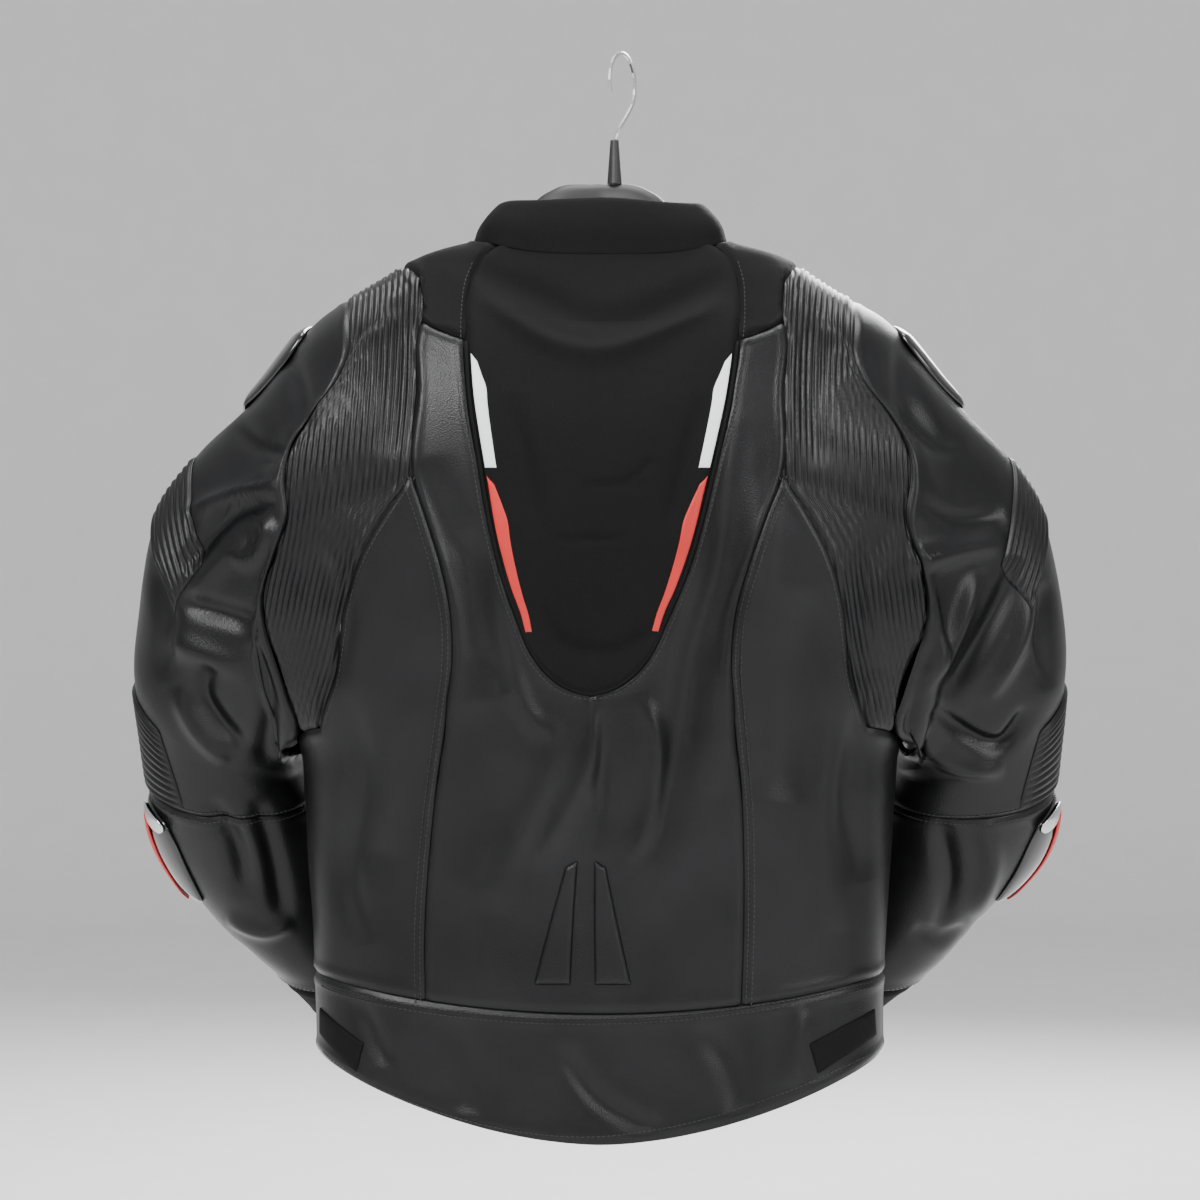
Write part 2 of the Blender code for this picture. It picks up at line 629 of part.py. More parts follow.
def make_zip():
    """The zip's chain down the middle of the front, with its slider and the tab hinged on it."""
    turn = np.linspace(math.pi - 0.019, math.pi + 0.019, 3)
    z = np.linspace(NECK_FRONT_Z - 2, FRONT_EDGE_MIDDLE_Z + 4, 16)
    grid = np.stack(np.broadcast_arrays(turn[None], z[:, None]), axis=-1)
    wall("front_zip", [surface_wall(grid, 1.8, gap=0.0)], LOOKS["zip"])
    seat = torso(np.array([math.pi]), np.array([SLIDER_Z]))[0]
    below = torso(np.array([math.pi]), np.array([SLIDER_Z - 30.0]))[0]
    tilt = math.atan2(below[1] - seat[1], 30.0)
    body = [(-4.5, 0), (4.5, 0), (4.5, 3), (3.7, 3), (3.7, 6.6), (2.4, 6.6), (2.4, 3), (-2.4, 3), (-2.4, 6.6),
            (-3.7, 6.6), (-3.7, 3), (-4.5, 3)]
    slider = flat_piece("zip_slider", body, 6.5, LOOKS["steel"])
    out = np.array([0.0, math.cos(tilt), math.sin(tilt)])
    up = np.array([0.0, -math.sin(tilt), math.cos(tilt)])
    place(slider, seat + out * 0.35, (tilt, 0, 0))
    axis = seat + out * (0.35 + 5.0) + up * 4.0
    tab = [(-2.0, 1.0), (2.0, 1.0), (2.0, -12.0), (4.0, -15.0), (4.0, -30.0), (2.5, -33.0), (-2.5, -33.0),
           (-4.0, -30.0), (-4.0, -15.0), (-2.0, -12.0)]
    pull = flat_piece("zip_pull", tab, 0.8, LOOKS["steel"])
    place(pull, axis, (tilt + math.pi / 2, 0, 0))


def flat_piece(name, outline, half, look):
    """A flat outline given in millimetres, thickened both ways."""
    curve = bpy.data.curves.new(name, "CURVE")
    curve.dimensions = "2D"
    curve.fill_mode = "BOTH"
    curve.extrude = half * MM
    spline = curve.splines.new("POLY")
    spline.points.add(len(outline) - 1)
    for point, (x, y) in zip(spline.points, outline):
        point.co = (x * MM, y * MM, 0, 1)
    spline.use_cyclic_u = True
    curve.materials.append(look)
    piece = bpy.data.objects.new(name, curve)
    JACKET.objects.link(piece)
    return piece


def place(piece, point, turned=(0, 0, 0)):
    """Puts a piece at a point in millimetres, counted from the jacket's middle."""
    piece.location = [float(v) * MM for v in (point[0] - ORIGIN_X, point[1], point[2])]
    piece.rotation_euler = turned


# The collar

def make_collar():
    """A stand band on the neck seam, leaning in a little and open at the front."""
    back = on_back(np.vstack([neck_back(-NECK_SIDE_X, -YOKE_TOP_X, 4), neck_back(-YOKE_TOP_X, YOKE_TOP_X, 11)[1:],
                              neck_back(YOKE_TOP_X, NECK_SIDE_X, 4)[1:]]))
    steps = np.linspace(1, 0.02, 10)
    right, left = neck_front(steps, 1), neck_front(steps, -1)[::-1]
    back[0], back[-1] = left[-1], right[0]
    seam = np.vstack([left[:-1], back, right[1:]])
    base = torso(seam[:, 0], seam[:, 1])
    rim = base.copy()
    rim[:, 0] = base[:, 0] * 0.82
    rim[:, 1] = base[:, 1] * 0.9
    rim[:, 2] = base[:, 2] + COLLAR_HEIGHT - COLLAR_SIDE_DROP * (np.abs(base[:, 0]) / NECK_SIDE_X) ** 2
    middle = np.array([0, 5.0, 0])
    rows = []
    for f in np.linspace(0, 1, 4):
        line = base + (rim - base) * f
        line[:, :2] += (line - middle)[:, :2] * 0.05 * math.sin(math.pi * f)
        line[:, 2] += 1.2 * (1 - f)
        rows.append(line)
    outer = np.array(rows)
    flat = outer - middle
    flat[..., 2] = 0
    inner = outer - flat / np.linalg.norm(flat, axis=-1, keepdims=True) * 3.0
    wall("collar", [(outer, inner)], LOOKS["matte"])


# The sleeves

def sleeve_rows(side):
    """The sleeve table for one side with the armhole's row first."""
    outer_x = SLEEVE[:, 0] if side < 0 else SLEEVE[:, 1]
    table = np.column_stack([outer_x, SLEEVE[:, 2:]])
    return np.vstack([[189, -185, 228, ARMPIT_Z, 0, 78], table])


def armhole_ring(side, fractions):
    """Points of the armhole and the torso's outward direction there, at fractions of the way round."""
    back = on_back(ARMHOLE_BACK_POINTS, side)
    front = on_front(ARMHOLE_FRONT_POINTS, side)
    back[0, 0] = back[-1, 0] = front[0, 0] = front[-1, 0] = side * math.pi / 2
    halves = []
    for edge, share in ((back, np.clip(fractions * 2, 0, 1)), (front, np.clip(2 - fractions * 2, 0, 1))):
        points = torso(edge[:, 0], edge[:, 1])
        out = torso_out(edge[:, 0], edge[:, 1])
        number = np.arange(len(points))
        halves.append(np.stack([np.interp(share * number[-1], number, v)
                                for v in np.vstack([points.T, out.T])], axis=1))
    ring = np.where((fractions <= 0.5)[:, None], halves[0], halves[1])
    return ring[:, :3], ring[:, 3:]


def sleeve_grid(side, rings, fractions):
    """Sleeve points: a row for each ring, a column for each fraction of the way round."""
    table = sleeve_rows(side)
    knots = np.arange(len(table), dtype=float)
    out_x, out_z, in_x, in_z, mid_y, depth = (smooth(rings, knots, table[:, k]) for k in range(6))
    tip = np.stack([side * out_x, mid_y, out_z], axis=1)
    pit = np.stack([side * in_x, mid_y, in_z], axis=1)
    centre = (tip + pit) / 2
    start = centre_of(table[0], side)
    fine = np.linspace(0, len(table) - 1, 120)
    path = np.stack([smooth(fine, knots, v) for v in
                     (side * (table[:, 0] + table[:, 2]) / 2, table[:, 4], (table[:, 1] + table[:, 3]) / 2)], axis=1)
    way = np.gradient(path, axis=0)
    way = np.stack([np.interp(rings, fine, way[:, k]) for k in range(3)], axis=1)
    chord = (tip - pit) / np.linalg.norm(tip - pit, axis=1, keepdims=True)
    behind = np.cross(way, chord)
    behind *= -np.sign(behind[:, 1:2]) / np.linalg.norm(behind, axis=1, keepdims=True)
    turn = 2 * math.pi * fractions
    half = np.linalg.norm(tip - pit, axis=1) / 2
    round_part = (centre[:, None] + (half[:, None] * np.cos(turn))[..., None] * chord[:, None]
                  + (depth[:, None] * np.sin(turn))[..., None] * behind[:, None])
    armhole = armhole_ring(side, fractions)[0]
    moved = armhole[None] + (centre - start)[:, None]
    share = np.clip(rings / 2.6, 0, 1)
    share = (share * share * (3 - 2 * share))[:, None, None]
    return moved * (1 - share) + round_part * share


def centre_of(table_row, side):
    """The middle of a sleeve row's ring."""
    out_x, out_z, in_x, in_z, mid_y, depth = table_row
    return np.array([side * (out_x + in_x) / 2, mid_y, (out_z + in_z) / 2])


ROUND = np.concatenate([np.linspace(0, 0.5, len(ARMHOLE_BACK_POINTS)),
                        np.linspace(0.5, 1, len(ARMHOLE_FRONT_POINTS))[1:]])


def sleeve_band(name, side, first, last, rows, look):
    """A closed band of the sleeve between two rings."""
    rings = np.linspace(first, last, rows)
    fractions = ROUND
    outer = sleeve_grid(side, rings, fractions)
    out = normals(outer, closed=True)
    centre = outer[:, :-1].mean(axis=1, keepdims=True)
    out *= np.sign(((outer - centre) * out).sum(axis=(1, 2)))[:, None, None]
    if first == 0:
        out[0] = armhole_ring(side, fractions)[1]
    inner = outer - out * LEATHER
    outer, inner = drawn_in(outer, SEAM_GAP, "tb"), drawn_in(inner, SEAM_GAP, "tb")
    outer[:, -1], inner[:, -1] = outer[:, 0], inner[:, 0]
    wall(name, [(outer, inner)], LOOKS[look])


UPPER_RINGS = np.linspace(0, ELBOW_RING, 9)
LOWER_RINGS = np.linspace(ELBOW_RING, CUFF_RING, 5)


def on_facets(side, rings, fractions):
    """Points on the sleeve's own facets, so that what lies on it follows them."""
    knots = UPPER_RINGS if rings[-1] <= ELBOW_RING else LOWER_RINGS
    grid = sleeve_grid(side, knots, ROUND)
    across = np.stack([np.stack([np.interp(fractions, ROUND, row[:, k]) for k in range(3)], axis=1)
                       for row in grid])
    at = np.interp(rings, knots, np.arange(len(knots)))
    low = np.clip(at.astype(int), 0, len(knots) - 2)
    f = (at - low)[:, None, None]
    return across[low] * (1 - f) + across[low + 1] * f


def sleeve_overlay(name, side, rings, turns, size, look, thick=1.4, ribbed=False, crown=0.0, lift=0.85):
    """A piece laid on the sleeve between two rings and two fractions of the way round."""
    even_rings, even_turns = np.linspace(*rings, size[0]), np.linspace(*turns, size[1])
    knots = np.concatenate([UPPER_RINGS, LOWER_RINGS])
    ring_line = np.union1d(even_rings, knots[(knots > rings[0] + 0.02) & (knots < rings[1] - 0.02)])
    around = np.concatenate([ROUND - 1, ROUND])
    fractions = np.union1d(even_turns, around[(around > turns[0] + 0.004) & (around < turns[1] - 0.004)])
    fractions = fractions[np.append(True, np.diff(fractions) > 1e-6)]
    rows, columns = len(ring_line), len(fractions)
    base = on_facets(side, ring_line, np.mod(fractions, 1.0))
    centre = sleeve_grid(side, ring_line, np.linspace(0, 1, 25)[:-1]).mean(axis=1, keepdims=True)
    out = normals(base)
    out *= np.sign(((base - centre) * out).sum(axis=-1, keepdims=True))
    height = np.full((rows, columns), thick)
    if ribbed:
        crest = np.where(np.arange(size[0]) % 2 == 1, RIB_HEIGHT, 0.0)
        height += np.interp(ring_line, even_rings, crest)[:, None]
    down = np.sin(math.pi * (ring_line - rings[0]) / (rings[1] - rings[0]))
    across = np.sin(math.pi * (fractions - turns[0]) / (turns[1] - turns[0]))
    height += crown * down[:, None] * across[None]
    wall(name, [(base + out * (lift + height)[..., None], base + out * lift)], LOOKS[look])


def make_sleeve(tag, side):
    """One sleeve: upper and lower tubes, cuff, ribbed patches and hard sliders."""
    sleeve_band("sleeve_upper_" + tag, side, 0, ELBOW_RING, 9, "leather")
    sleeve_band("sleeve_lower_" + tag, side, ELBOW_RING, CUFF_RING, 5, "leather")
    sleeve_band("cuff_" + tag, side, CUFF_RING, LAST_RING, 2, "matte")
    sleeve_overlay("biceps_rib_" + tag, side, (3.0, 4.0), (0.03, 0.2), (17, 2), "ribbed", ribbed=True)
    sleeve_overlay("elbow_rib_" + tag, side, (5.95, 6.95), (-0.12, 0.17), (17, 2), "ribbed", ribbed=True)
    sleeve_overlay("shoulder_shell_" + tag, side, (1.1, 2.3), (-0.1, 0.045), (5, 5), "shell", 2.0, crown=5.0,
                   lift=2.2)
    sleeve_overlay("elbow_shell_" + tag, side, (7.12, 8.7), (-0.11, 0.13), (6, 5), "shell", 2.0, crown=5.0)


# The hanger

HANGER_TOP = np.array([(0, -97.5), (34, -101), (50, -112), (62, -130), (78, -154), (97, -164)], dtype=float)


def hanger_top(x):
    """Height of the hanger's upper edge: its own hump in the neck, and the shoulder ridge beside it."""
    heights = np.linspace(-186, -142, 60)
    widths = smooth(heights, TORSO[:, 0], TORSO[:, 1])
    under = np.interp(abs(x), widths[::-1], heights[::-1]) - 3.0
    own = float(smooth(np.array([min(abs(x), 97.0)]), HANGER_TOP[:, 0], HANGER_TOP[:, 1])[0])
    return own if abs(x) < 97 else min(under, -164.0)


def make_hanger():
    """The moulded arms, the neck stub and the wire hook."""
    stations = np.concatenate([[-178, -172], np.linspace(-160, 160, 21), [172, 178]])
    rings = []
    for x in stations:
        end = 1 - max(0.0, (abs(x) - 160) / 18.0) ** 2 * 0.75
        top = float(hanger_top(x))
        tall = (34 - 14 * min(1, abs(x) / 100)) * end
        deep = (8 + 9 * min(1, abs(x) / 120)) * end
        turn = np.linspace(0, 2 * math.pi, 13)
        y = deep * np.cos(turn)
        z = top - tall / 2 + tall / 2 * np.sin(turn)
        rings.append(np.stack([np.full(13, x), y, z], axis=1))
    rings = np.array(rings)
    mesh = bpy.data.meshes.new("hanger_body")
    count = 12
    points = np.vstack([rings[:, :-1].reshape(-1, 3), [rings[0, :-1].mean(axis=0)], [rings[-1, :-1].mean(axis=0)]])
    faces = []
    for r in range(len(stations) - 1):
        for c in range(count):
            d = (c + 1) % count
            faces.append([r * count + c, r * count + d, (r + 1) * count + d, (r + 1) * count + c])
    first, last, base = len(points) - 2, len(points) - 1, (len(stations) - 1) * count
    faces += [[first, (c + 1) % count, c] for c in range(count)]
    faces += [[last, base + c, base + (c + 1) % count] for c in range(count)]
    mesh.from_pydata(((points - (ORIGIN_X, 0, 0)) * MM).tolist(), [], faces)
    if solid_volume(mesh) < 0:
        mesh.flip_normals()
    mesh.shade_smooth()
    piece = bpy.data.objects.new("hanger_body", mesh)
    piece.data.materials.append(LOOKS["moulded"])
    JACKET.objects.link(piece)
    stub_top, stub_low = NECK_TOP_Z, float(hanger_top(10.0)) + 0.35
    bpy.ops.mesh.primitive_cone_add(vertices=16, radius1=5.6 * MM, radius2=3.2 * MM,
                                    depth=(stub_top - stub_low) * MM)
    stub = bpy.context.object
    stub.name = "hanger_neck"
    stub.data.materials.append(LOOKS["moulded"])
    for owner in list(stub.users_collection):
        owner.objects.unlink(stub)
    JACKET.objects.link(stub)
    place(stub, (11.0, 0, (stub_top + stub_low) / 2))
    reach = HOOK_RADIUS + WIRE_RADIUS
    angle = np.radians(np.linspace(200, -25, 22))
    arc_p, arc_z = reach * np.cos(angle), -HOOK_RADIUS + reach * np.sin(angle)
    f = np.linspace(0, 1, 9)[1:]
    end_z = NECK_TOP_Z + 1.0
    stem_p = arc_p[-1] * (1 - f) ** 2 * (1 + 1.2 * f)
    stem_z = arc_z[-1] + (end_z - arc_z[-1]) * f
    p, z = np.concatenate([arc_p, stem_p]), np.concatenate([arc_z, stem_z])
    slide = np.concatenate([np.zeros(len(angle)), -6.0 * f * f])
    points = np.stack([ORIGIN_X + p * math.cos(HOOK_SWIVEL) + slide, p * math.sin(HOOK_SWIVEL), z], axis=1)
    tube("hanger_hook", points, WIRE_RADIUS, LOOKS["steel"], sides=1)


make_yoke()
make_insert()
make_piping()
make_back_center()
for tag, side in SIDES:
    make_shoulder(tag, side)
    make_back_side(tag, side)
    make_ribbed_panel(tag, side)
    make_flashes(tag, side)
    make_front(tag, side)
    make_sleeve(tag, side)
    patch("back_pad_" + tag, [(6, -604), (15, -609), (36, -696), (9, -696)], (8, 4), "leather", side, 1.6)
    patch("hem_tab_" + tag, [(165, -741), (207, -718), (208, -738), (171, -763)], (4, 7), "matte", side, lift=0.8)
make_hem()
make_zip()
make_collar()
make_hanger()
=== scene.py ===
# %% [markdown]
# # A leather race jacket on its hanger
# A race jacket is cut from many leather panels, with ribbed stretch panels where the arms move and a padded
# hump behind the neck. This lesson dresses a measured CAD model of one. Each sewn panel of the model is a
# named node, and each gets a finer surface here on the same form, with folds, seams and stitches. The CAD
# model comes in first, as a fixed frame that nothing may move.

# %% Load the measured model
import math

import bmesh
import bpy
import numpy as np
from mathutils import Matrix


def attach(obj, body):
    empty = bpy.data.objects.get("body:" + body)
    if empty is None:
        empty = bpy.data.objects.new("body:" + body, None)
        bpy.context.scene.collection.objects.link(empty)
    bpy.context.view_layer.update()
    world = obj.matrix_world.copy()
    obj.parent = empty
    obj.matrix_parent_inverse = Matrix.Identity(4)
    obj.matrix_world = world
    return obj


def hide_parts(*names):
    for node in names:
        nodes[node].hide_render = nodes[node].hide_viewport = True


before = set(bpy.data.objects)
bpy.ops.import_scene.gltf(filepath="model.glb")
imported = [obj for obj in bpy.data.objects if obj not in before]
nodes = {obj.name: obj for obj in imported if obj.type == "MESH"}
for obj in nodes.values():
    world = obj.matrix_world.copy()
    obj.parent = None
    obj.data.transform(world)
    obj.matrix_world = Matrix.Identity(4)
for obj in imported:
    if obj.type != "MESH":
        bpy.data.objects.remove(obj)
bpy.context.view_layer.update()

# %% [markdown]
# ## Sizes
# The jacket's body is drawn as level sections, each half a rounded box behind and in front, and all sizes
# are in millimetres from the jacket's middle. The seams are tables of height and distance from the middle
# of the back. The same numbers made the CAD model, so that every surface here lands on its own solid.

# %% The body's sections and the seams of the back
MM = 0.001
ORIGIN_X = 17.0
SIDES = (("L", -1), ("R", 1))
SQUARENESS = 0.06
HUMP_DEPTH, HUMP_CENTRE_Z, HUMP_WIDE, HUMP_TALL = 13.0, -325.0, 85.0, 100.0
NECK_SIDE_X, NECK_SIDE_Z, NECK_BACK_Z, NECK_FRONT_Z = 95.0, -142.0, -155.0, -198.0
ARMHOLE_TOP_Z, ARMPIT_Z = -185.0, -522.0
HEM_HALF = 214.0
COLLAR_HEIGHT, COLLAR_SIDE_DROP = 42.0, 14.0
HEM_SEAM_MIDDLE_Z, HEM_SEAM_SIDE_Z, HEM_EDGE_MIDDLE_Z, HEM_EDGE_SIDE_Z = -718.0, -692.0, -814.0, -752.0
FRONT_SEAM_Z, FRONT_EDGE_Z = -700.0, -762.0
ZIP_HALF_TURN = 0.026
TORSO = np.array([(-142, 95, 58, 50), (-152, 132, 63, 55), (-164, 154, 69, 61), (-186, 190, 79, 70),
                  (-208, 226, 90, 77), (-259, 266, 106, 87), (-301, 300, 112, 92), (-345, 312, 113, 94),
                  (-417, 300, 109, 95), (-470, 264, 104, 94), (-522, 228, 99, 92), (-560, 223, 94, 91),
                  (-620, 219, 88, 88), (-718, 214, 86, 86), (-820, 214, 88, 88)], dtype=float)
LEAN = np.array([(-112, 6), (-206, 2), (-320, -2), (-442, -6), (-568, -9), (-652, -12), (-820, -13)],
                dtype=float)
INSERT_SIDE = np.array([(-206, 101), (-221, 100), (-260, 96), (-298, 89), (-327, 83), (-365, 75), (-404, 63),
                        (-432, 52)], dtype=float)
INSERT_END = np.array([(-432, 52), (-446, 46), (-459, 38), (-470, 27), (-478, 14), (-481, 0)], dtype=float)
RIBS_INNER = np.array([(-161, 148), (-174, 136), (-206, 134), (-238, 136), (-280, 137), (-320, 136)],
                      dtype=float)
RIBS_LOWER = np.array([(-320, 136), (-333, 142), (-352, 157), (-374, 169), (-394, 178), (-424, 185),
                       (-462, 190), (-489, 196), (-508, 204)], dtype=float)
PRINCESS = np.array([(-320, 136), (-345, 127), (-382, 114), (-442, 102), (-496, 106), (-568, 114),
                     (-652, 118), (-718, 117)], dtype=float)
ARMHOLE_BACK = np.array([(-185, 189), (-205, 188), (-242, 188), (-258, 200), (-274, 212), (-294, 225),
                         (-325, 230), (-345, 227), (-368, 231), (-390, 240), (-428, 244), (-452, 238),
                         (-494, 225), (-512, 221), (-522, 228)], dtype=float)
ARMHOLE_FRONT = np.array([(-185, 189), (-205, 205), (-225, 204), (-245, 196), (-270, 187), (-300, 183),
                          (-345, 186), (-400, 195), (-450, 205), (-494, 217), (-512, 223), (-522, 228)],
                         dtype=float)
print("body sections:", len(TORSO))

# %% [markdown]
# ## Curves
# A tailor joins a few measured points with a smooth curve. A cubic curve does the same between a table's
# rows: it passes through each value with the slope of its neighbours, so a seam has no corners that nobody
# sewed.

# %% Smooth curves through tables
def cubic(f, low, high, leave, arrive):
    """At fraction f between two values: both, and the slopes there, are mixed by cubic weights."""
    return ((1 + 2 * f) * (1 - f) ** 2 * low + f * (1 - f) ** 2 * leave
            + f * f * (3 - 2 * f) * high - f * f * (1 - f) * arrive)


def walk(points):
    """The length walked along a line at each of its points."""
    return np.concatenate([[0.0], np.cumsum(np.linalg.norm(np.diff(points, axis=0), axis=1))])


def read_at(places, knots, points):
    """Every coordinate of a line of points, read off at places between the knots."""
    return np.stack([np.interp(places, knots, values) for values in points.T], axis=1)


def unit(vectors):
    """The same directions at length one."""
    return vectors / np.linalg.norm(vectors, axis=-1, keepdims=True)


def smooth(value, knots, values):
    """The cubic curve through a table of knots and values."""
    order = np.argsort(knots)
    knots, values = knots[order], values[order]
    slope = np.gradient(values, knots)
    place = np.clip(np.searchsorted(knots, value) - 1, 0, len(knots) - 2)
    span = knots[place + 1] - knots[place]
    f = np.clip((value - knots[place]) / span, 0.0, 1.0)
    return cubic(f, values[place], values[place + 1], slope[place] * span, slope[place + 1] * span)


def along(points, count, spread=None):
    """The same curve through count points: each coordinate is read off against the length walked."""
    points = np.asarray(points, dtype=float)
    length = walk(points)
    fractions = np.linspace(0.0, 1.0, count) if spread is None else spread
    return read_at(fractions, length / length[-1], points)


def eased(table, count=60):
    """A table of height and distance as a smooth curve of distance and height."""
    length = walk(table)
    place = np.linspace(0.0, length[-1], count)
    return np.stack([smooth(place, length, table[:, 1]), smooth(place, length, table[:, 0])], axis=1)


def between(curve, top, bottom, count):
    """Evenly spaced points of a curve between two heights."""
    fine = along(curve, 400)
    return along(fine[(fine[:, 1] <= top + 0.3) & (fine[:, 1] >= bottom - 0.3)], count)


def finer(points, times, corners=()):
    """Each step cut into `times` steps on a cubic through the points, sharp only at the corners."""
    parts, cuts = [], [0, *corners, len(points) - 1]
    for first, last in zip(cuts, cuts[1:]):
        piece = points[first:last + 1]
        slope = np.gradient(piece, axis=0)
        at = np.linspace(0, last - first, (last - first) * times + 1)
        low = np.minimum(at.astype(int), last - first - 1)
        f = (at - low).reshape(-1, *[1] * (points.ndim - 1))
        part = cubic(f, piece[low], piece[low + 1], slope[low], slope[low + 1])
        parts.append(part[1:] if parts else part)
    return np.concatenate(parts)


print("one step in four:", finer(np.array([[0.0, 0.0], [1.0, 2.0]]), 4)[:, 1])

# %% [markdown]
# ## The body's surface
# Going round the body is a turn, nought at the middle of the back. The half width at a height, times the
# sine of the turn, gives the distance across, and the depth times the cosine gives the distance behind. A
# little of the third harmonic squares the shoulders off. The hump is a bell laid over the back.

# %% The body as a function of turn and height
TURN = np.linspace(-math.pi / 2, math.pi / 2, 721)
TURN_ACROSS = (np.sin(TURN) + SQUARENESS * np.sin(3 * TURN)) / (1 - SQUARENESS)


def torso(turn, z):
    """A point of the body: half width times sine across, depth times cosine behind, plus the hump."""
    half, back, front = (smooth(z, TORSO[:, 0], TORSO[:, k]) for k in (1, 2, 3))
    across = (np.sin(turn) + SQUARENESS * np.sin(3 * turn)) / (1 - SQUARENESS)
    facing = (np.cos(turn) - SQUARENESS * np.cos(3 * turn)) / (1 - SQUARENESS)
    x = half * across
    hump = HUMP_DEPTH * np.exp(-(x / HUMP_WIDE) ** 2 - ((z - HUMP_CENTRE_Z) / HUMP_TALL) ** 2)
    y = np.where(facing > 0, -(back + hump) * facing, -front * facing)
    return np.stack([x, y, z + 0.0 * x], axis=-1)


def torso_out(turn, z):
    """The outward direction: the cross product of a hair's step round and a hair's step up."""
    across = torso(turn + 1e-3, z) - torso(turn - 1e-3, z)
    upward = torso(turn, z + 0.5) - torso(turn, z - 0.5)
    return unit(np.cross(across, upward))


def skin(flat):
    """Points and outward directions of the plain body at turns and heights."""
    return torso(flat[..., 0], flat[..., 1]), torso_out(flat[..., 0], flat[..., 1])


def half_width(z):
    """Half the body's width at a height."""
    return smooth(z, TORSO[:, 0], TORSO[:, 1])


def turn_at(across, half):
    """The turn at which a section of that half width is so far across."""
    return np.interp(across / half, TURN_ACROSS, TURN)


def lean(z):
    """How far the pattern's middle line stands off the jacket's middle at a height."""
    return smooth(z, *LEAN.T)


def on_back(points, side=1):
    """Distance and height on the back, as turn and height; the lean fades out at the side seams."""
    x, z = points.T
    half = half_width(z)
    fade = np.clip(1 - (np.abs(x) / half) ** 6, 0, 1)
    return np.stack([turn_at(side * x + lean(z) * fade, half), z], axis=1)


def on_front(points, side):
    """The same on the front, without the lean."""
    x, z = points.T
    return np.stack([side * (math.pi - turn_at(x, half_width(z))), z], axis=1)


print("middle of the hump:", np.round(torso(np.array([0.0]), np.array([-325.0]))[0], 1))

# %% [markdown]
# ## Folds
# Leather this thick folds in few, soft, uneven creases, where an arm hangs or the hem pulls. Each fold here
# is listed: a line in the plane of the picture, a width and a height, with troughs below nought. A
# fold is a bell across its line that fades out at both ends. The back and the front have a list each, and
# the sleeves' folds are in both, mirrored and a little lower in front.

# %% Folds listed one by one: a line in the picture's pixels, and a width and a height in millimetres
PICTURE_WIDTH, PICTURE_MIDDLE, CROWN_ROW, MM_PER_PIXEL = 1200, 600, 50, 0.75
BACK_FOLDS = [
    ([(430, 464), (456, 536), (470, 560), (480, 640), (508, 692)], 15, -3.4),
    ([(498, 560), (508, 640), (530, 712), (566, 730)], 10, 2.6),
    ([(735, 420), (720, 560), (692, 660), (680, 740), (664, 808), (650, 862)], 15, -4.4),
    ([(762, 480), (748, 590), (722, 690), (712, 790)], 13, 2.6),
    ([(640, 690), (656, 740), (650, 812), (628, 858)], 8, 3.0),
    ([(597, 696), (592, 752), (560, 820), (540, 862)], 9, 3.4),
    ([(604, 700), (602, 770), (598, 846)], 6, -2.2),
    ([(560, 712), (548, 776), (512, 850), (500, 910)], 12, 2.0),
    ([(476, 700), (486, 790), (470, 880)], 20, -2.4),
    ([(800, 590), (790, 690), (778, 800)], 22, -3.4),
    ([(350, 690), (366, 780), (352, 870), (372, 940)], 12, -3.2),
    ([(392, 640), (400, 740), (388, 850)], 16, 2.2),
    ([(862, 690), (846, 790), (858, 880)], 11, -3.6),
    ([(826, 720), (818, 820), (832, 930)], 13, 2.4),
    ([(560, 1036), (600, 1092), (664, 1126)], 8, -2.4),
    ([(360, 992), (392, 1062)], 9, -2.0),
    ([(452, 1010), (470, 1060), (462, 1110)], 14, -2.0),
    ([(700, 1016), (728, 1060), (736, 1106)], 13, -2.2),
    ([(800, 1000), (790, 1084)], 10, 1.8),
    ([(455, 262), (521, 292), (585, 322), (650, 318), (735, 276)], 13, -3.0),
    ([(478, 296), (542, 344), (600, 358), (668, 334), (724, 304)], 8, 2.4),
    ([(581, 487), (616, 488), (650, 486)], 2.4, -1.6),
    ([(552, 540), (590, 541), (628, 538)], 2.4, -1.6),
    ([(622, 483), (638, 478), (650, 462)], 3.0, -1.3),
    ([(536, 600), (560, 640), (604, 652), (650, 632), (676, 592)], 9, -2.0),
    ([(512, 400), (528, 470), (540, 540)], 9, -1.6),
    ([(700, 400), (682, 470), (664, 540)], 9, -1.6),
    ([(392, 300), (404, 380), (396, 460)], 12, -2.4),
    ([(820, 300), (806, 380), (816, 470)], 12, -2.4),
    ([(330, 520), (352, 600), (336, 690)], 10, -2.4),
    ([(872, 520), (858, 600), (872, 680)], 10, -2.6),
]
LEFT_SLEEVE_FOLDS = [
    ([(186, 516), (232, 500), (292, 486)], 8, 4.0),
    ([(186, 572), (217, 530), (246, 508), (284, 506)], 7, -4.6),
    ([(192, 600), (226, 560), (256, 544)], 9, 3.2),
    ([(257, 512), (276, 532), (262, 556), (236, 560)], 7, 3.8),
    ([(180, 600), (242, 619), (268, 630)], 9, -3.8),
    ([(160, 634), (198, 650), (256, 672)], 11, 2.8),
    ([(216, 664), (204, 692), (219, 722), (244, 748)], 8, -4.4),
    ([(152, 560), (168, 620), (162, 680)], 9, -2.8),
    ([(262, 640), (272, 700), (262, 770)], 9, -3.2),
    ([(176, 690), (196, 730), (226, 764)], 8, 2.8),
    ([(206, 800), (232, 850), (240, 905)], 9, -3.4),
    ([(252, 800), (268, 862), (276, 930)], 9, -3.0),
    ([(214, 926), (254, 940), (286, 930)], 7, 2.8),
    ([(232, 420), (262, 444), (300, 452)], 9, -2.8),
    ([(286, 350), (306, 402), (302, 452)], 10, -2.4),
]
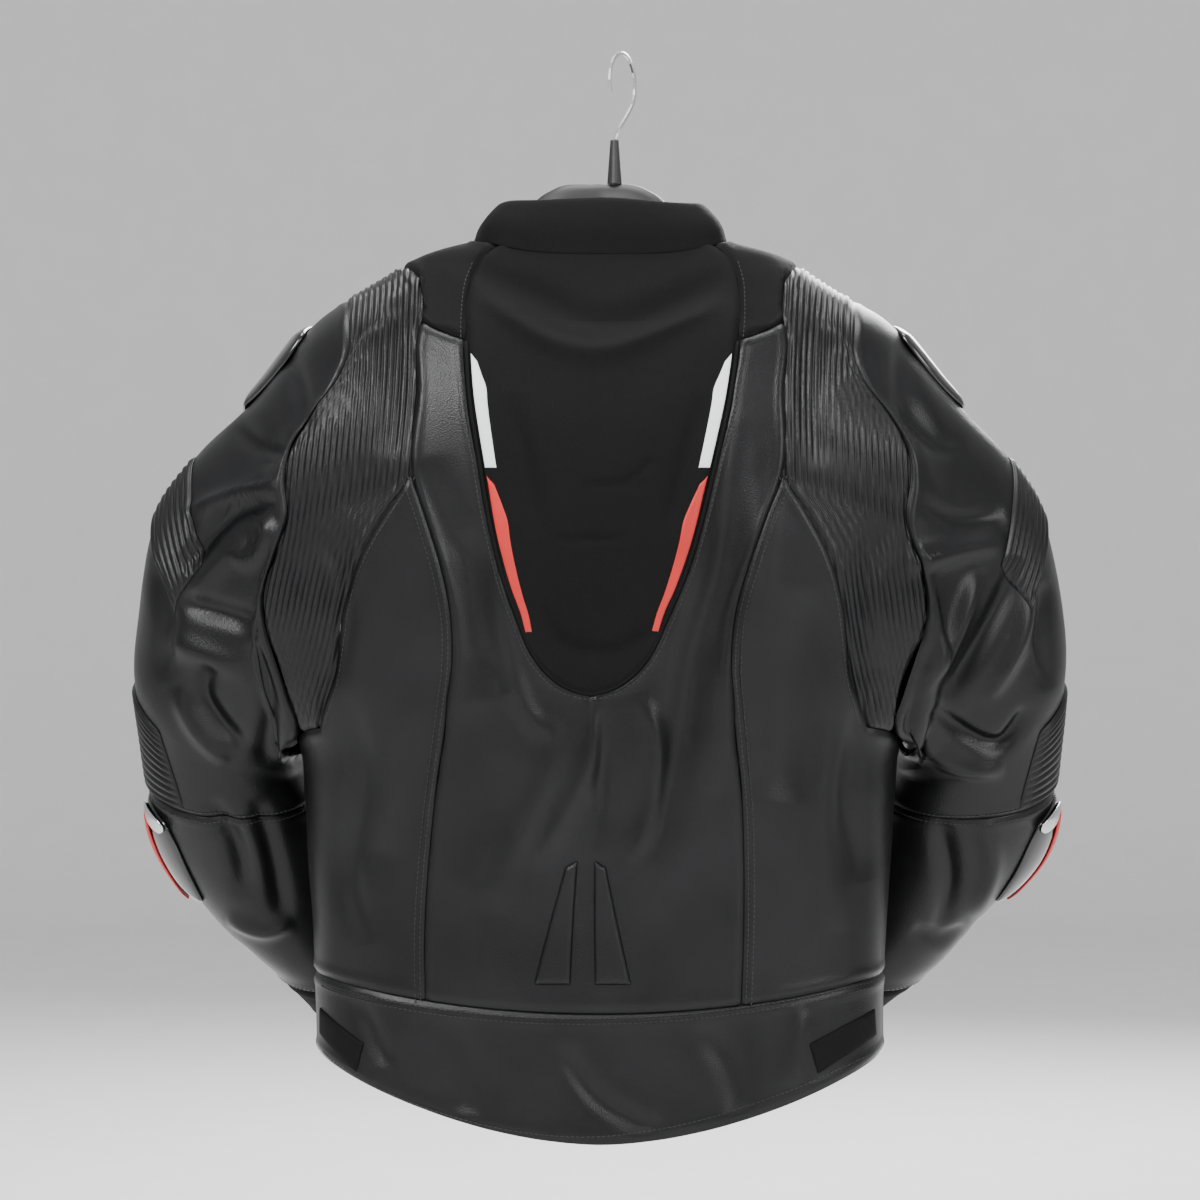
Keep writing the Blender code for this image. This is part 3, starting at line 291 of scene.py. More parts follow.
RIGHT_SLEEVE_FOLDS = [
    ([(900, 566), (950, 552), (1002, 543)], 8, 4.2),
    ([(1012, 556), (1006, 586), (980, 640), (940, 704)], 10, -5.0),
    ([(974, 572), (952, 632), (918, 690)], 9, 3.8),
    ([(1030, 590), (1018, 640), (986, 700)], 8, 3.4),
    ([(930, 706), (968, 736), (1004, 744), (1030, 706)], 7, -4.6),
    ([(918, 742), (962, 768), (1008, 770)], 8, 3.2),
    ([(1046, 580), (1042, 640), (1050, 690)], 8, -2.6),
    ([(914, 500), (948, 520), (1004, 516)], 8, -3.0),
    ([(942, 820), (956, 886), (948, 950)], 9, -3.2),
    ([(986, 822), (1000, 868), (984, 928)], 9, 2.6),
    ([(920, 936), (952, 950), (980, 938)], 7, -2.8),
    ([(920, 640), (904, 700), (914, 772)], 9, -3.2),
    ([(906, 400), (930, 440), (960, 452)], 9, -2.8),
    ([(902, 336), (900, 392), (912, 446)], 10, -2.4),
]
FRONT_FOLDS = [
    ([(400, 300), (440, 420), (500, 520), (520, 640)], 16, -3.6),
    ([(802, 296), (760, 430), (712, 540), (700, 640)], 15, -3.4),
    ([(352, 520), (420, 600), (470, 720), (476, 820)], 17, 3.0),
    ([(850, 540), (782, 610), (728, 700), (720, 800)], 16, 3.2),
    ([(470, 380), (520, 470), (560, 520)], 12, 2.4),
    ([(742, 380), (700, 450), (640, 520)], 11, 2.2),
    ([(340, 700), (400, 760), (430, 850), (420, 920)], 12, -3.4),
    ([(862, 690), (806, 740), (772, 850)], 13, -3.6),
    ([(520, 640), (548, 760), (540, 880)], 13, -2.6),
    ([(668, 650), (652, 760), (664, 900)], 14, -2.4),
    ([(382, 860), (452, 900), (540, 890)], 10, 2.8),
    ([(820, 880), (742, 910), (660, 884)], 10, 2.6),
    ([(352, 600), (370, 680), (356, 780)], 11, -2.6),
    ([(870, 596), (846, 690), (862, 790)], 11, -2.8),
    ([(430, 940), (452, 1020)], 10, -1.8),
    ([(752, 940), (740, 1020)], 10, -1.8),
]


def mirrored(folds, drop):
    """The same folds seen from the other side, lowered by drop pixels."""
    return [([(PICTURE_WIDTH - x, y + drop) for x, y in line], width, height)
            for line, width, height in folds]


FOLD_STRENGTH, SLEEVE_STRENGTH, FOLD_SHARPNESS, FRONT_DROP = 1.85, 1.1, 0.85, 14
SLEEVE_FOLDS = [(line, width, height * SLEEVE_STRENGTH) for line, width, height in
                LEFT_SLEEVE_FOLDS + RIGHT_SLEEVE_FOLDS]
LISTS = {"back": BACK_FOLDS + SLEEVE_FOLDS, "front": FRONT_FOLDS + mirrored(SLEEVE_FOLDS, FRONT_DROP)}


def fold(x, z, line, width, height):
    """A bell across the line, times a fade: one less the square of what a sine along the line lacks."""
    width = width * FOLD_SHARPNESS
    line = finer((np.array(line) - (PICTURE_MIDDLE, CROWN_ROW)) * (MM_PER_PIXEL, -MM_PER_PIXEL), 5)
    low, high = line.min(axis=0) - 3 * width, line.max(axis=0) + 3 * width
    near = np.flatnonzero((x > low[0]) & (x < high[0]) & (z > low[1]) & (z < high[1]))
    spot = np.stack([x[near], z[near]], axis=1)[:, None]
    step = np.diff(line, axis=0)
    span = np.linalg.norm(step, axis=1)
    share = np.clip(((spot - line[:-1]) * step).sum(-1) / span ** 2, 0, 1)
    gap = np.linalg.norm(spot - line[:-1] - share[..., None] * step, axis=-1)
    best = gap.argmin(axis=1)
    rows = np.arange(len(near))
    walked = (np.cumsum(span)[best] - span[best] * (1 - share[rows, best])) / span.sum()
    lift = np.zeros(len(x))
    fade = 1 - (1 - np.sin(math.pi * np.clip(walked, 0, 1))) ** 2
    lift[near] = height * np.exp(-(gap[rows, best] / width) ** 2) * fade
    return lift


RUMPLES, RUMPLE_RATE, RUMPLE_HEIGHT = 14, 0.09, 0.12
RNG = np.random.default_rng(11)
WAVES = np.column_stack([RNG.normal(0, 1, (RUMPLES, 3)), RNG.uniform(0, 6.28, RUMPLES)])
WAVES[:, :3] = unit(WAVES[:, :3]) * RUMPLE_RATE


def folded(points, out):
    """Height of all folds: back folds where the surface faces back, front folds elsewhere."""
    flat, facing = points.reshape(-1, 3), out.reshape(-1, 3)[:, 1]
    behind = 1 / (1 + np.exp(facing * 9))
    lift = np.zeros(len(flat))
    for side, weight in (("back", behind), ("front", 1 - behind)):
        for line, width, height in LISTS[side]:
            lift += weight * fold(flat[:, 0], flat[:, 2], line, width, height)
    rumple = np.sin(flat @ WAVES[:, :3].T + WAVES[:, 3]).sum(axis=1) * RUMPLE_HEIGHT
    return (FOLD_STRENGTH * lift + rumple).reshape(points.shape[:-1])


print("folds:", {side: len(folds) for side, folds in LISTS.items()})

# %% [markdown]
# ## Finishes
# The leather is black with a satin sheen and a fine pebble grain. Its grain is a Voronoi pattern of about a
# millimetre and its tone wanders slowly over the hide, which noise gives. The stretch cloth is matte, with
# a tighter texture. Every pattern reads Object coordinates, so it stays put when the camera moves.

# %% A finish with grain, slow changes of tone and uneven gloss
def finish(name, dark, light, rough, grain_scale, relief, metallic=0.0, spec=0.5, coat=0.0, cells=True):
    """Principled shader: noise mixes two tones and two roughnesses, and a fine pattern drives the bump."""
    made = bpy.data.materials.new(name)
    made.use_nodes = True
    tree = made.node_tree
    shader = tree.nodes["Principled BSDF"]
    for socket, value in (("Metallic", metallic), ("Specular IOR Level", spec), ("Coat Weight", coat)):
        shader.inputs[socket].default_value = value
    place = tree.nodes.new("ShaderNodeTexCoord")
    slow = tree.nodes.new("ShaderNodeTexNoise")
    slow.inputs["Scale"].default_value = 14.0
    slow.inputs["Detail"].default_value = 5.0
    tree.links.new(place.outputs["Object"], slow.inputs["Vector"])
    tone = tree.nodes.new("ShaderNodeValToRGB")
    for stop, position, colour in zip(tone.color_ramp.elements, (0.35, 0.68), (dark, light)):
        stop.position, stop.color = position, (*colour, 1)
    gloss = tree.nodes.new("ShaderNodeMapRange")
    gloss.inputs["To Min"].default_value, gloss.inputs["To Max"].default_value = rough
    tree.links.new(slow.outputs["Fac"], tone.inputs["Fac"])
    tree.links.new(slow.outputs["Fac"], gloss.inputs["Value"])
    tree.links.new(tone.outputs["Color"], shader.inputs["Base Color"])
    tree.links.new(gloss.outputs["Result"], shader.inputs["Roughness"])
    grain = tree.nodes.new("ShaderNodeTexVoronoi" if cells else "ShaderNodeTexNoise")
    grain.inputs["Scale"].default_value = grain_scale
    tree.links.new(place.outputs["Object"], grain.inputs["Vector"])
    bump = tree.nodes.new("ShaderNodeBump")
    bump.inputs["Strength"].default_value = relief
    bump.inputs["Distance"].default_value = 0.0004
    tree.links.new(grain.outputs["Distance" if cells else "Fac"], bump.inputs["Height"])
    tree.links.new(bump.outputs["Normal"], shader.inputs["Normal"])
    return made


LOOKS = {
    "leather": finish("satin_leather", (0.0025, 0.0026, 0.003), (0.006, 0.0061, 0.0068), (0.3, 0.44),
                      850, 0.35, spec=0.25),
    "matte": finish("matte_stretch_cloth", (0.002, 0.002, 0.002), (0.0034, 0.0034, 0.0036), (0.7, 0.88),
                    1300, 0.5, spec=0.14),
    "ribbed": finish("ribbed_leather", (0.0022, 0.0022, 0.0026), (0.005, 0.005, 0.0058), (0.32, 0.46),
                     900, 0.3, spec=0.27),
    "white": finish("white_leather", (0.66, 0.68, 0.70), (0.8, 0.81, 0.82), (0.4, 0.52), 850, 0.3),
    "red": finish("red_leather", (0.4, 0.006, 0.004), (0.5, 0.01, 0.007), (0.4, 0.52), 850, 0.3),
    "shell": finish("glossy_shell", (0.004, 0.004, 0.005), (0.008, 0.008, 0.009), (0.12, 0.24),
                    300, 0.06, coat=0.4, cells=False),
    "moulded": finish("moulded_plastic", (0.006, 0.006, 0.006), (0.012, 0.012, 0.013), (0.42, 0.56),
                      600, 0.2, cells=False),
    "steel": finish("bright_steel", (0.5, 0.5, 0.51), (0.68, 0.68, 0.69), (0.2, 0.34),
                    500, 0.1, metallic=1.0, cells=False),
    "zip": finish("dark_metal", (0.03, 0.03, 0.032), (0.07, 0.07, 0.075), (0.32, 0.46),
                  500, 0.15, metallic=1.0, cells=False),
    "thread": finish("black_thread", (0.006, 0.006, 0.006), (0.014, 0.014, 0.015), (0.5, 0.62),
                     2400, 0.4, cells=False),
}
print("finishes:", ", ".join(LOOKS))

# %% [markdown]
# ## Making a piece
# A sewn panel is a grid of points turned into a mesh. Its rows and columns run between its seams, and its
# edges roll down into the seam, as turned leather does. Solidify then gives the skin its thickness,
# inwards. The size that each piece was cut to is measured along its rows and columns.

# %% Grids into cloth
MERGE_DISTANCE = 2e-5


def linked(name, points, faces, look):
    """An object in the scene, from points in millimetres and faces."""
    mesh = bpy.data.meshes.new(name)
    mesh.from_pydata(((points - (ORIGIN_X, 0, 0)) * MM).tolist(), [], faces.tolist())
    mesh.materials.append(LOOKS[look])
    piece = bpy.data.objects.new(name, mesh)
    bpy.context.collection.objects.link(piece)
    return piece


def mesh_of(name, grids, look):
    """Grids as one mesh that faces outwards; points that lie on each other become one."""
    points, faces, start = [], [], 0
    for grid, outward in grids:
        rows, columns = grid.shape[:2]
        index = np.arange(rows * columns).reshape(rows, columns) + start
        quads = np.stack([index[:-1, :-1], index[1:, :-1], index[1:, 1:], index[:-1, 1:]], axis=-1)
        quads = quads.reshape(-1, 4)
        middle = (rows // 2, columns // 2)
        across = grid[middle[0], min(middle[1] + 1, columns - 1)] - grid[middle[0], middle[1] - 1]
        down = grid[min(middle[0] + 1, rows - 1), middle[1]] - grid[middle[0] - 1, middle[1]]
        if np.dot(np.cross(down, across), outward[middle]) < 0:
            quads = quads[:, ::-1]
        points.append(grid.reshape(-1, 3))
        faces.append(quads)
        start += rows * columns
    piece = linked(name, np.concatenate(points), np.concatenate(faces), look)
    work = bmesh.new()
    work.from_mesh(piece.data)
    bmesh.ops.remove_doubles(work, verts=work.verts, dist=MERGE_DISTANCE)
    work.to_mesh(piece.data)
    work.free()
    piece.data.shade_smooth()
    return piece


def tell(piece, look, *replaced):
    """The piece rides on the jacket's body, and the nodes that it stands for are hidden; look, its finish,
    is not used.
    """
    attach(piece, "jacket")
    if replaced:
        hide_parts(*replaced)


def cut_size(grids):
    """Longest row, longest column and area of the grids, in metres and square metres."""
    wide = max(np.linalg.norm(np.diff(g, axis=1), axis=-1).sum(axis=1).max() for g in grids)
    tall = max(np.linalg.norm(np.diff(g, axis=0), axis=-1).sum(axis=0).max() for g in grids)
    area = sum(np.linalg.norm(np.cross(np.diff(g, axis=0)[:, :-1], np.diff(g, axis=1)[:-1]), axis=-1).sum()
               for g in grids)
    return wide * MM, tall * MM, area * MM ** 2


def thickened(name, grids, look, thick, *replaced):
    """A mesh that Solidify gives a thickness, inwards."""
    piece = mesh_of(name, grids, look)
    solid = piece.modifiers.new("thickness", "SOLIDIFY")
    solid.thickness, solid.offset = thick * MM, -1.0
    tell(piece, look, *replaced)
    return piece


def cloth(name, grids, look, thick=1.5, node=None, halves=1):
    """A sewn piece in its node's place, with its cut measured; two halves are twice as wide as one."""
    piece = thickened(name + "_skin", grids, look, thick, node or name)
    wide, tall, area = cut_size([grid for grid, _ in grids])
    wide *= halves


def edge_gaps(grid):
    """Distance of every point from each of the four edges, walked along its row or its column."""
    across = np.linalg.norm(np.diff(grid, axis=1), axis=-1)
    down = np.linalg.norm(np.diff(grid, axis=0), axis=-1)
    left = np.concatenate([np.zeros((len(grid), 1)), np.cumsum(across, axis=1)], axis=1)
    top = np.concatenate([np.zeros((1, grid.shape[1])), np.cumsum(down, axis=0)], axis=0)
    return {"l": left, "r": left[:, -1:] - left, "t": top, "b": top[-1:] - top}


def rolled(gap, depth=1.5, reach=2.2, swell=0.7):
    """Height near a seam: a narrow drop into the seam, and a soft welt 6 mm from it."""
    return swell * np.exp(-((gap - 6.0) / 3.5) ** 2) - depth * np.exp(-(gap / reach) ** 2)


def near_edges(grid, share=0.3):
    """The grid with one more row and column close to each edge, so that a seam's roll is sharp."""
    for axis in (0, 1):
        count = grid.shape[axis]
        at = np.concatenate([[0, share], np.arange(1.0, count - 1), [count - 1 - share, count - 1]])
        low = np.minimum(at.astype(int), count - 2)
        f = np.expand_dims(at - low, 1 - axis)
        grid = np.take(grid, low, axis) * (1 - f)[..., None] + np.take(grid, low + 1, axis) * f[..., None]
    return grid


def fractions_of(values):
    """Where each value lies between the first and the last, or even steps where they are all alike."""
    if abs(values[-1] - values[0]) < 1e-6:
        return np.linspace(0, 1, len(values))
    return (values - values[0]) / (values[-1] - values[0])


def coons(top, bottom, left, right):
    """A grid that fills four edges: two ruled surfaces, less the one through left's and right's ends."""
    top, bottom = top.copy(), bottom.copy()
    top[0], top[-1], bottom[0], bottom[-1] = left[0], right[0], left[-1], right[-1]
    v = ((fractions_of(left[:, 1]) + fractions_of(right[:, 1])) / 2)[:, None, None]
    u = ((fractions_of(top[:, 0]) + fractions_of(bottom[:, 0])) / 2)[None, :, None]
    ruled = (1 - v) * top[None] + v * bottom[None] + (1 - u) * left[:, None] + u * right[:, None]
    return ruled - ((1 - v) * ((1 - u) * top[0] + u * top[-1]) + v * ((1 - u) * bottom[0] + u * bottom[-1]))


def fine_grid(flat, times, row_corners=(), column_corners=()):
    """A coarse grid of turns and heights, made finer both ways."""
    rows = finer(flat, times[0], row_corners)
    return near_edges(finer(rows.swapaxes(0, 1), times[1], column_corners).swapaxes(0, 1))


def panel(flat, edges="tblr", lift=0.0, extra=None):
    """A body panel's points and outward directions: the body, plus folds, seam rolls and its own relief."""
    base, out = skin(flat)
    gaps = edge_gaps(base)
    height = folded(base, out) + lift
    for edge in edges:
        height = height + rolled(gaps[edge])
    if extra is not None:
        height = height + extra(base, gaps)
    return base + out * height[..., None], out


print("helpers ready")

# %% [markdown]
# ## Seams
# Two panels share each seam, so each seam is one set of points here, used by both. The hem seam curves up
# towards the sides, and the princess seams run from the ribbed panels down to it.

# %% Shared seams of the back
YOKE_TOP_X, PRINCESS_FOOT, RIBS_TOP_Z, INSERT_END_Z = 80.0, 117.0, -161.0, -481.0


def hem_seam(x):
    """Height of the hem band's seam: lowest in the middle, rising with the square of the distance."""
    return HEM_SEAM_MIDDLE_Z + (HEM_SEAM_SIDE_Z - HEM_SEAM_MIDDLE_Z) * (np.abs(x) / HEM_HALF) ** 2


def hem_edge(x):
    """Height of the hem's lower edge on the back."""
    return HEM_EDGE_MIDDLE_Z + (HEM_EDGE_SIDE_Z - HEM_EDGE_MIDDLE_Z) * (np.abs(x) / HEM_HALF) ** 1.8


def side_seam(top, bottom, count, side):
    """A straight line down the side, as turns and heights."""
    return np.stack([np.full(count, side * math.pi / 2), np.linspace(top, bottom, count)], axis=1)


def hem_line(distance, side):
    """Points of the hem seam at distances from the leaning middle line."""
    low = np.full(len(distance), HEM_SEAM_MIDDLE_Z)
    x = side * distance + lean(low) * (1 - (distance / HEM_HALF) ** 6)
    return np.stack([distance, hem_seam(x)], axis=1)


def princess(side):
    """The princess seam from the ribbed panel to the hem seam."""
    foot = hem_line(np.array([PRINCESS_FOOT]), side)[0]
    curve = eased(PRINCESS)
    return along(np.vstack([curve[curve[:, 1] > foot[1] + 1.0], foot]), 12)


def neck_back(start, end, count):
    """The neck seam across the back: it rises with the cube of the distance from the middle."""
    x = np.linspace(start, end, count)
    return np.stack([x, NECK_BACK_Z + (NECK_SIDE_Z - NECK_BACK_Z) * np.abs(x / NECK_SIDE_X) ** 3], axis=1)


SHOULDER_SEAM = np.array([neck_back(YOKE_TOP_X, YOKE_TOP_X, 1)[0], (88, -153), (95, -162), (100, -180),
                          (101, -206), (100, -221)])
INSERT_SIDE_POINTS = np.vstack([[101, -206], between(eased(INSERT_SIDE), -221, -432, 6)])
INSERT_END_POINTS = along(eased(INSERT_END), 5)
RIBS_TOP_POINTS = along(between(eased(RIBS_INNER), -161, -206, 80), 6,
                        np.array([0, 0.06, 0.18, 0.4, 0.7, 1]))
RIBS_MIDDLE_POINTS = between(eased(RIBS_INNER), -206, -320, 4)
RIBS_LOWER_POINTS = along(eased(RIBS_LOWER), 7)
ARMHOLE = eased(ARMHOLE_BACK)
ARMHOLE_BACK_POINTS = np.vstack([along(ARMHOLE[ARMHOLE[:, 1] > -512.5], 15,
                                       np.append([0, 0.02, 0.06, 0.12], np.linspace(0.2, 1, 11))),
                                 [228, ARMPIT_Z]])
ARMHOLE_FRONT_POINTS = along(eased(ARMHOLE_FRONT), 12,
                             np.append([0, 0.05, 0.1, 0.16], np.linspace(0.24, 1, 8)))
RIBS_TOP_POINTS[-1] = RIBS_MIDDLE_POINTS[0]
RIBS_MIDDLE_POINTS[-1] = RIBS_LOWER_POINTS[0]
INSERT_SIDE_POINTS[-1] = INSERT_END_POINTS[0]
print("princess seam foot:", np.round(princess(1)[-1], 1))

# %% [markdown]
# ## The yoke, the shoulders and the padded insert
# The yoke and the shoulders are matte stretch cloth. The insert below them is foam under cloth, from the
# hump down to a round end, so it crowns a little between its edges and its sewn channels sink in.

# %% Yoke, shoulders and insert
YOKE_FOOT = [(-101, -206), (101, -206)]
INSERT_CROWN, INSERT_CROWN_REACH = 2.2, 14
left, right = on_back(SHOULDER_SEAM[:5], -1), on_back(SHOULDER_SEAM[:5])
top = on_back(neck_back(-YOKE_TOP_X, YOKE_TOP_X, 11))
bottom = on_back(along(YOKE_FOOT, 11))
cloth("back_yoke", [panel(fine_grid(coons(top, bottom, left, right), (8, 7)), "lr")], "matte")
for tag, side in SIDES:
    inner, outer = on_back(SHOULDER_SEAM, side), on_back(RIBS_TOP_POINTS, side)
    neck = on_back(neck_back(YOKE_TOP_X, NECK_SIDE_X, 4), side)
    top = np.vstack([neck, side_seam(NECK_SIDE_Z, RIBS_TOP_Z, 4, side)[1:]])
    outer[0], inner[0] = top[-1], top[0]
    bottom = along([inner[-1], outer[-1]], len(top))
    cloth("shoulder_" + tag, [panel(fine_grid(coons(top, bottom, inner, outer), (8, 4)))], "matte")
left, right = on_back(INSERT_SIDE_POINTS, -1), on_back(INSERT_SIDE_POINTS)
bottom = np.vstack([on_back(INSERT_END_POINTS, -1), on_back(INSERT_END_POINTS)[::-1][1:]])
flat = fine_grid(coons(on_back(along(YOKE_FOOT, 9)), bottom, left, right), (16, 11))


def insert_crown(base, gaps):
    """The foam's rise from both sides of the insert."""
    return INSERT_CROWN * (1 - np.exp(-np.minimum(gaps["l"], gaps["r"]) / INSERT_CROWN_REACH))


cloth("back_insert", [panel(flat, "blr", extra=insert_crown)], "matte")

# %% [markdown]
# ## The leather back
# Three panels make the leather back. The middle one is notched round the insert, so it is drawn as two
# halves that share their middle line, and the shared points are merged. The side panels run from the
# princess seams to the side seams, and they take the whole pull of the hanging sleeves.

# %% Back panels
halves = []
NOTCH = np.vstack([INSERT_SIDE_POINTS[1:], INSERT_END_POINTS[1:]])
for tag, side in SIDES:
    middle = np.array([(0, INSERT_END_Z), hem_line(np.zeros(1), side)[0]])
    outer_line = np.vstack([RIBS_MIDDLE_POINTS, princess(side)[1:]])
    inner = np.vstack([NOTCH, along(middle, len(outer_line) - len(NOTCH) + 1)[1:]])
    inner_edge, outer_edge = on_back(inner, side), on_back(outer_line, side)
    bottom = on_back(hem_line(np.linspace(0, PRINCESS_FOOT, 6), side), side)
    top = along([inner_edge[0], outer_edge[0]], 6)
    flat = fine_grid(coons(top, bottom, inner_edge, outer_edge), (10, 9), (len(NOTCH) - 1,))
    beside_notch = (flat[:, :1, 1] > INSERT_END_Z - 0.5) * 1.0
    halves.append(panel(flat, "tbr", extra=lambda base, gaps: beside_notch * rolled(gaps["l"])))
cloth("back_center", halves, "leather", halves=2)
for tag, side in SIDES:
    inner = on_back(princess(side), side)
    top = on_back(np.vstack([RIBS_LOWER_POINTS, ARMHOLE_BACK_POINTS[-2:]]), side)
    outer = side_seam(ARMPIT_Z, HEM_SEAM_SIDE_Z, 12, side)
    bottom = on_back(hem_line(np.linspace(PRINCESS_FOOT, HEM_HALF, len(top)), side), side)
    flat = fine_grid(coons(top, bottom, inner, outer), (11, 6), (), (6,))
    cloth("back_side_" + tag, [panel(flat, "tblr")], "leather")

# %% [markdown]
# ## Ribbed stretch panels
# Elastic thread gathers these panels into narrow ribs, so that the shoulders can move. Across the ribs, the
# height is the size of a sine, which gives round crests and sharp valleys. The ribs crowd and lean
# unevenly, because the elastic never pulls evenly.

# %% Ribbed panels behind the armholes
RIB_PITCH, RIB_HEIGHT = 4.4, 1.7
RIB_COLUMNS = 2 * round((230 - 136) / RIB_PITCH) + 1
RIB_RUN = np.array([(-161, 142), (-250, 139), (-350, 144), (-430, 157), (-508, 176)], dtype=float)
for tag, side in SIDES:
    inner = on_back(np.vstack([RIBS_TOP_POINTS, RIBS_MIDDLE_POINTS[1:], RIBS_LOWER_POINTS[1:]]), side)
    outer = on_back(ARMHOLE_BACK_POINTS[:-1], side)
    top = side_seam(RIBS_TOP_Z, ARMHOLE_TOP_Z, RIB_COLUMNS, side)
    inner[0], outer[0] = top[0], top[-1]
    flat = fine_grid(coons(top, along([inner[-1], outer[-1]], RIB_COLUMNS), inner, outer), (8, 4))
    count = flat.shape[1]
    column = np.linspace(0, RIB_COLUMNS - 1, count)[None]
    row = np.linspace(0, 1, len(flat))[:, None]
    across = torso(flat[..., 0], flat[..., 1])[..., 0] * side - side * lean(flat[..., 1])
    run = smooth(flat[..., 1], *RIB_RUN.T)
    wander = 0.1 * np.sin(row * 7 + column * 0.21) + 0.04 * np.sin(row * 19 - column * 0.6)
    crest = np.abs(np.sin(math.pi * ((across - run) / RIB_PITCH + wander / 2))) ** 0.75
    fade = np.clip(np.minimum(row, 1 - row) * 24, 0, 1)
    uneven = 1 + 0.12 * np.sin(column * 1.7 + row * 5)
    ribs = panel(flat, "tblr", extra=lambda base, gaps: RIB_HEIGHT * crest * fade * uneven - 0.9)
    cloth("accordion_" + tag, [ribs], "ribbed", thick=1.0)
print("ribs a side:", RIB_COLUMNS // 2)

# %% [markdown]
# ## What lies on the back
# The slips beside the hump, the two embossed pads and the hem's adjusters are laid on the panels. Each is
# made from the points of the panel that carries it, moved out, so it follows every fold below it.

# %% Slips, pads and adjusters
def overlay_relief(thick, reach):
    """Full thickness in the middle, rounding down to the cloth over a short reach at every edge."""
    def relief(base, gaps):
        nearest = np.minimum(np.minimum(gaps["l"], gaps["r"]), np.minimum(gaps["t"], gaps["b"]))
        return thick * (1 - np.exp(-nearest / reach))
    return relief


def laid(name, flat, look, thick, lift, reach=1.2):
    """A piece laid on the back: the panel's own height, plus a lift and a rounded thickness."""
    cloth(name, [panel(flat, "", lift, overlay_relief(thick, reach))], look, thick=thick + lift)


for tag, side in SIDES:
    for name, start, end, width, taper in (("white", -232, -316, 11, 0.75), ("red", -322, -436, 13, 0.4)):
        z = np.linspace(start, end, 9)
        across = np.linspace(0, 1, 9)
        edge = smooth(z, *INSERT_SIDE.T) - 3.5
        wide = width * (1 - (1 - taper) * across) * np.minimum(1, 0.45 + 2.2 * across)
        outer = on_back(np.stack([edge, z], axis=1), side)
        inner = on_back(np.stack([edge - wide, z - 6 * (1 - across)], axis=1), side)
        grid = coons(along([inner[0], outer[0]], 4), along([inner[-1], outer[-1]], 4), inner, outer)
        laid("flash_" + name + "_" + tag, fine_grid(grid, (5, 4)), name, 0.9, 1.6)
    for name, corners, size, look, thick in (
            ("back_pad_", [(6, -604), (15, -609), (36, -696), (9, -696)], (8, 4), "leather", 3.2),
            ("hem_tab_", [(165, -741), (207, -718), (208, -738), (171, -763)], (4, 7), "matte", 1.6)):
        a, b, c, d = (np.array(corner, dtype=float) for corner in corners)
        edges = [on_back(along(pair, count), side) for pair, count in
                 (((a, b), size[1]), ((d, c), size[1]), ((a, d), size[0]), ((b, c), size[0]))]
        laid(name + tag, fine_grid(coons(*edges), (6, 6)), look, thick, 0.5)

# %% [markdown]
# ## Piping
# A cord in a folded strip is sewn round the insert's edge. A circle carried along the seam makes it: at
# each point the circle stands in the plane of the surface's outward direction and the direction across the
# seam.

# %% Tubes and the piping
PIPING_RADIUS = 1.7


def frames(points, out):
    """Local axes at every point: across the line, outwards, and along the line."""
    way = unit(np.gradient(points, axis=0))
    across = unit(np.cross(way, out))
    return np.stack([across, np.cross(across, way), way], axis=1)


def swept(points, out, radius, sides=10):
    """A tube: at every point, radius times cosine outwards and sine across; the ends shrink to a point."""
    across, raised, _ = frames(points, out).swapaxes(0, 1)
    turn = np.linspace(0, 2 * math.pi, sides + 1)
    size = np.full(len(points), radius)
    size[0] = size[-1] = 1e-3
    ring = np.cos(turn)[None, :, None] * raised[:, None] + np.sin(turn)[None, :, None] * across[:, None]
    return points[:, None] + ring * size[:, None, None], ring


def on_torso(flat, lift=0.0):
    """Points on the folded surface of the body, with its outward direction."""
    base, out = skin(flat)
    return base + out * (folded(base, out) + lift)[:, None], out


edge = finer(np.vstack([NOTCH * (-1, 1), NOTCH[::-1][1:]]), 10)
points, out = on_torso(on_back(edge), 0.2)
piping = mesh_of("insert_piping_cord", [swept(points, out, PIPING_RADIUS)], "matte")
tell(piping, "matte", "insert_piping")
print("piping length:", round(float(walk(points)[-1]) * MM, 3), "m")

# %% [markdown]
# ## The hem band and the fronts
# The hem band closes the jacket round the waist. The fronts are hidden in the picture, so they follow a
# usual race jacket: plain leather from the shoulder to the hem band, a curved neck, and a zip down the
# middle.

# %% Hem band
turn = np.linspace(-math.pi / 2, math.pi / 2, 23)
across = np.interp(turn, TURN, TURN_ACROSS) * HEM_HALF
top, low = hem_seam(across), hem_edge(across)
z = top[None] + (low - top)[None] * np.linspace(0, 1, 3)[:, None]
grid = np.stack([np.broadcast_to(turn, z.shape), z], axis=-1)
cloth("hem_back", [panel(fine_grid(grid, (14, 8)), "tblr")], "leather")
for tag, side in SIDES:
    part_turn = np.linspace(math.pi / 2, math.pi - ZIP_HALF_TURN, 11)
    dip = np.sin(part_turn) ** 2
    top = FRONT_SEAM_Z + (HEM_SEAM_SIDE_Z - FRONT_SEAM_Z) * dip
    low = FRONT_EDGE_Z + (HEM_EDGE_SIDE_Z - FRONT_EDGE_Z) * dip
    z = top[None] + (low - top)[None] * np.linspace(0, 1, 2)[:, None]
    grid = np.stack([np.broadcast_to(side * part_turn, z.shape), z], axis=-1)
    cloth("hem_front_" + tag, [panel(fine_grid(grid, (16, 7)), "tblr")], "leather")

# %% Fronts
FRONT_STEPS = np.array([0, 0.17, 0.34, 0.5, 0.65, 0.78, 0.88, 0.95, 1])


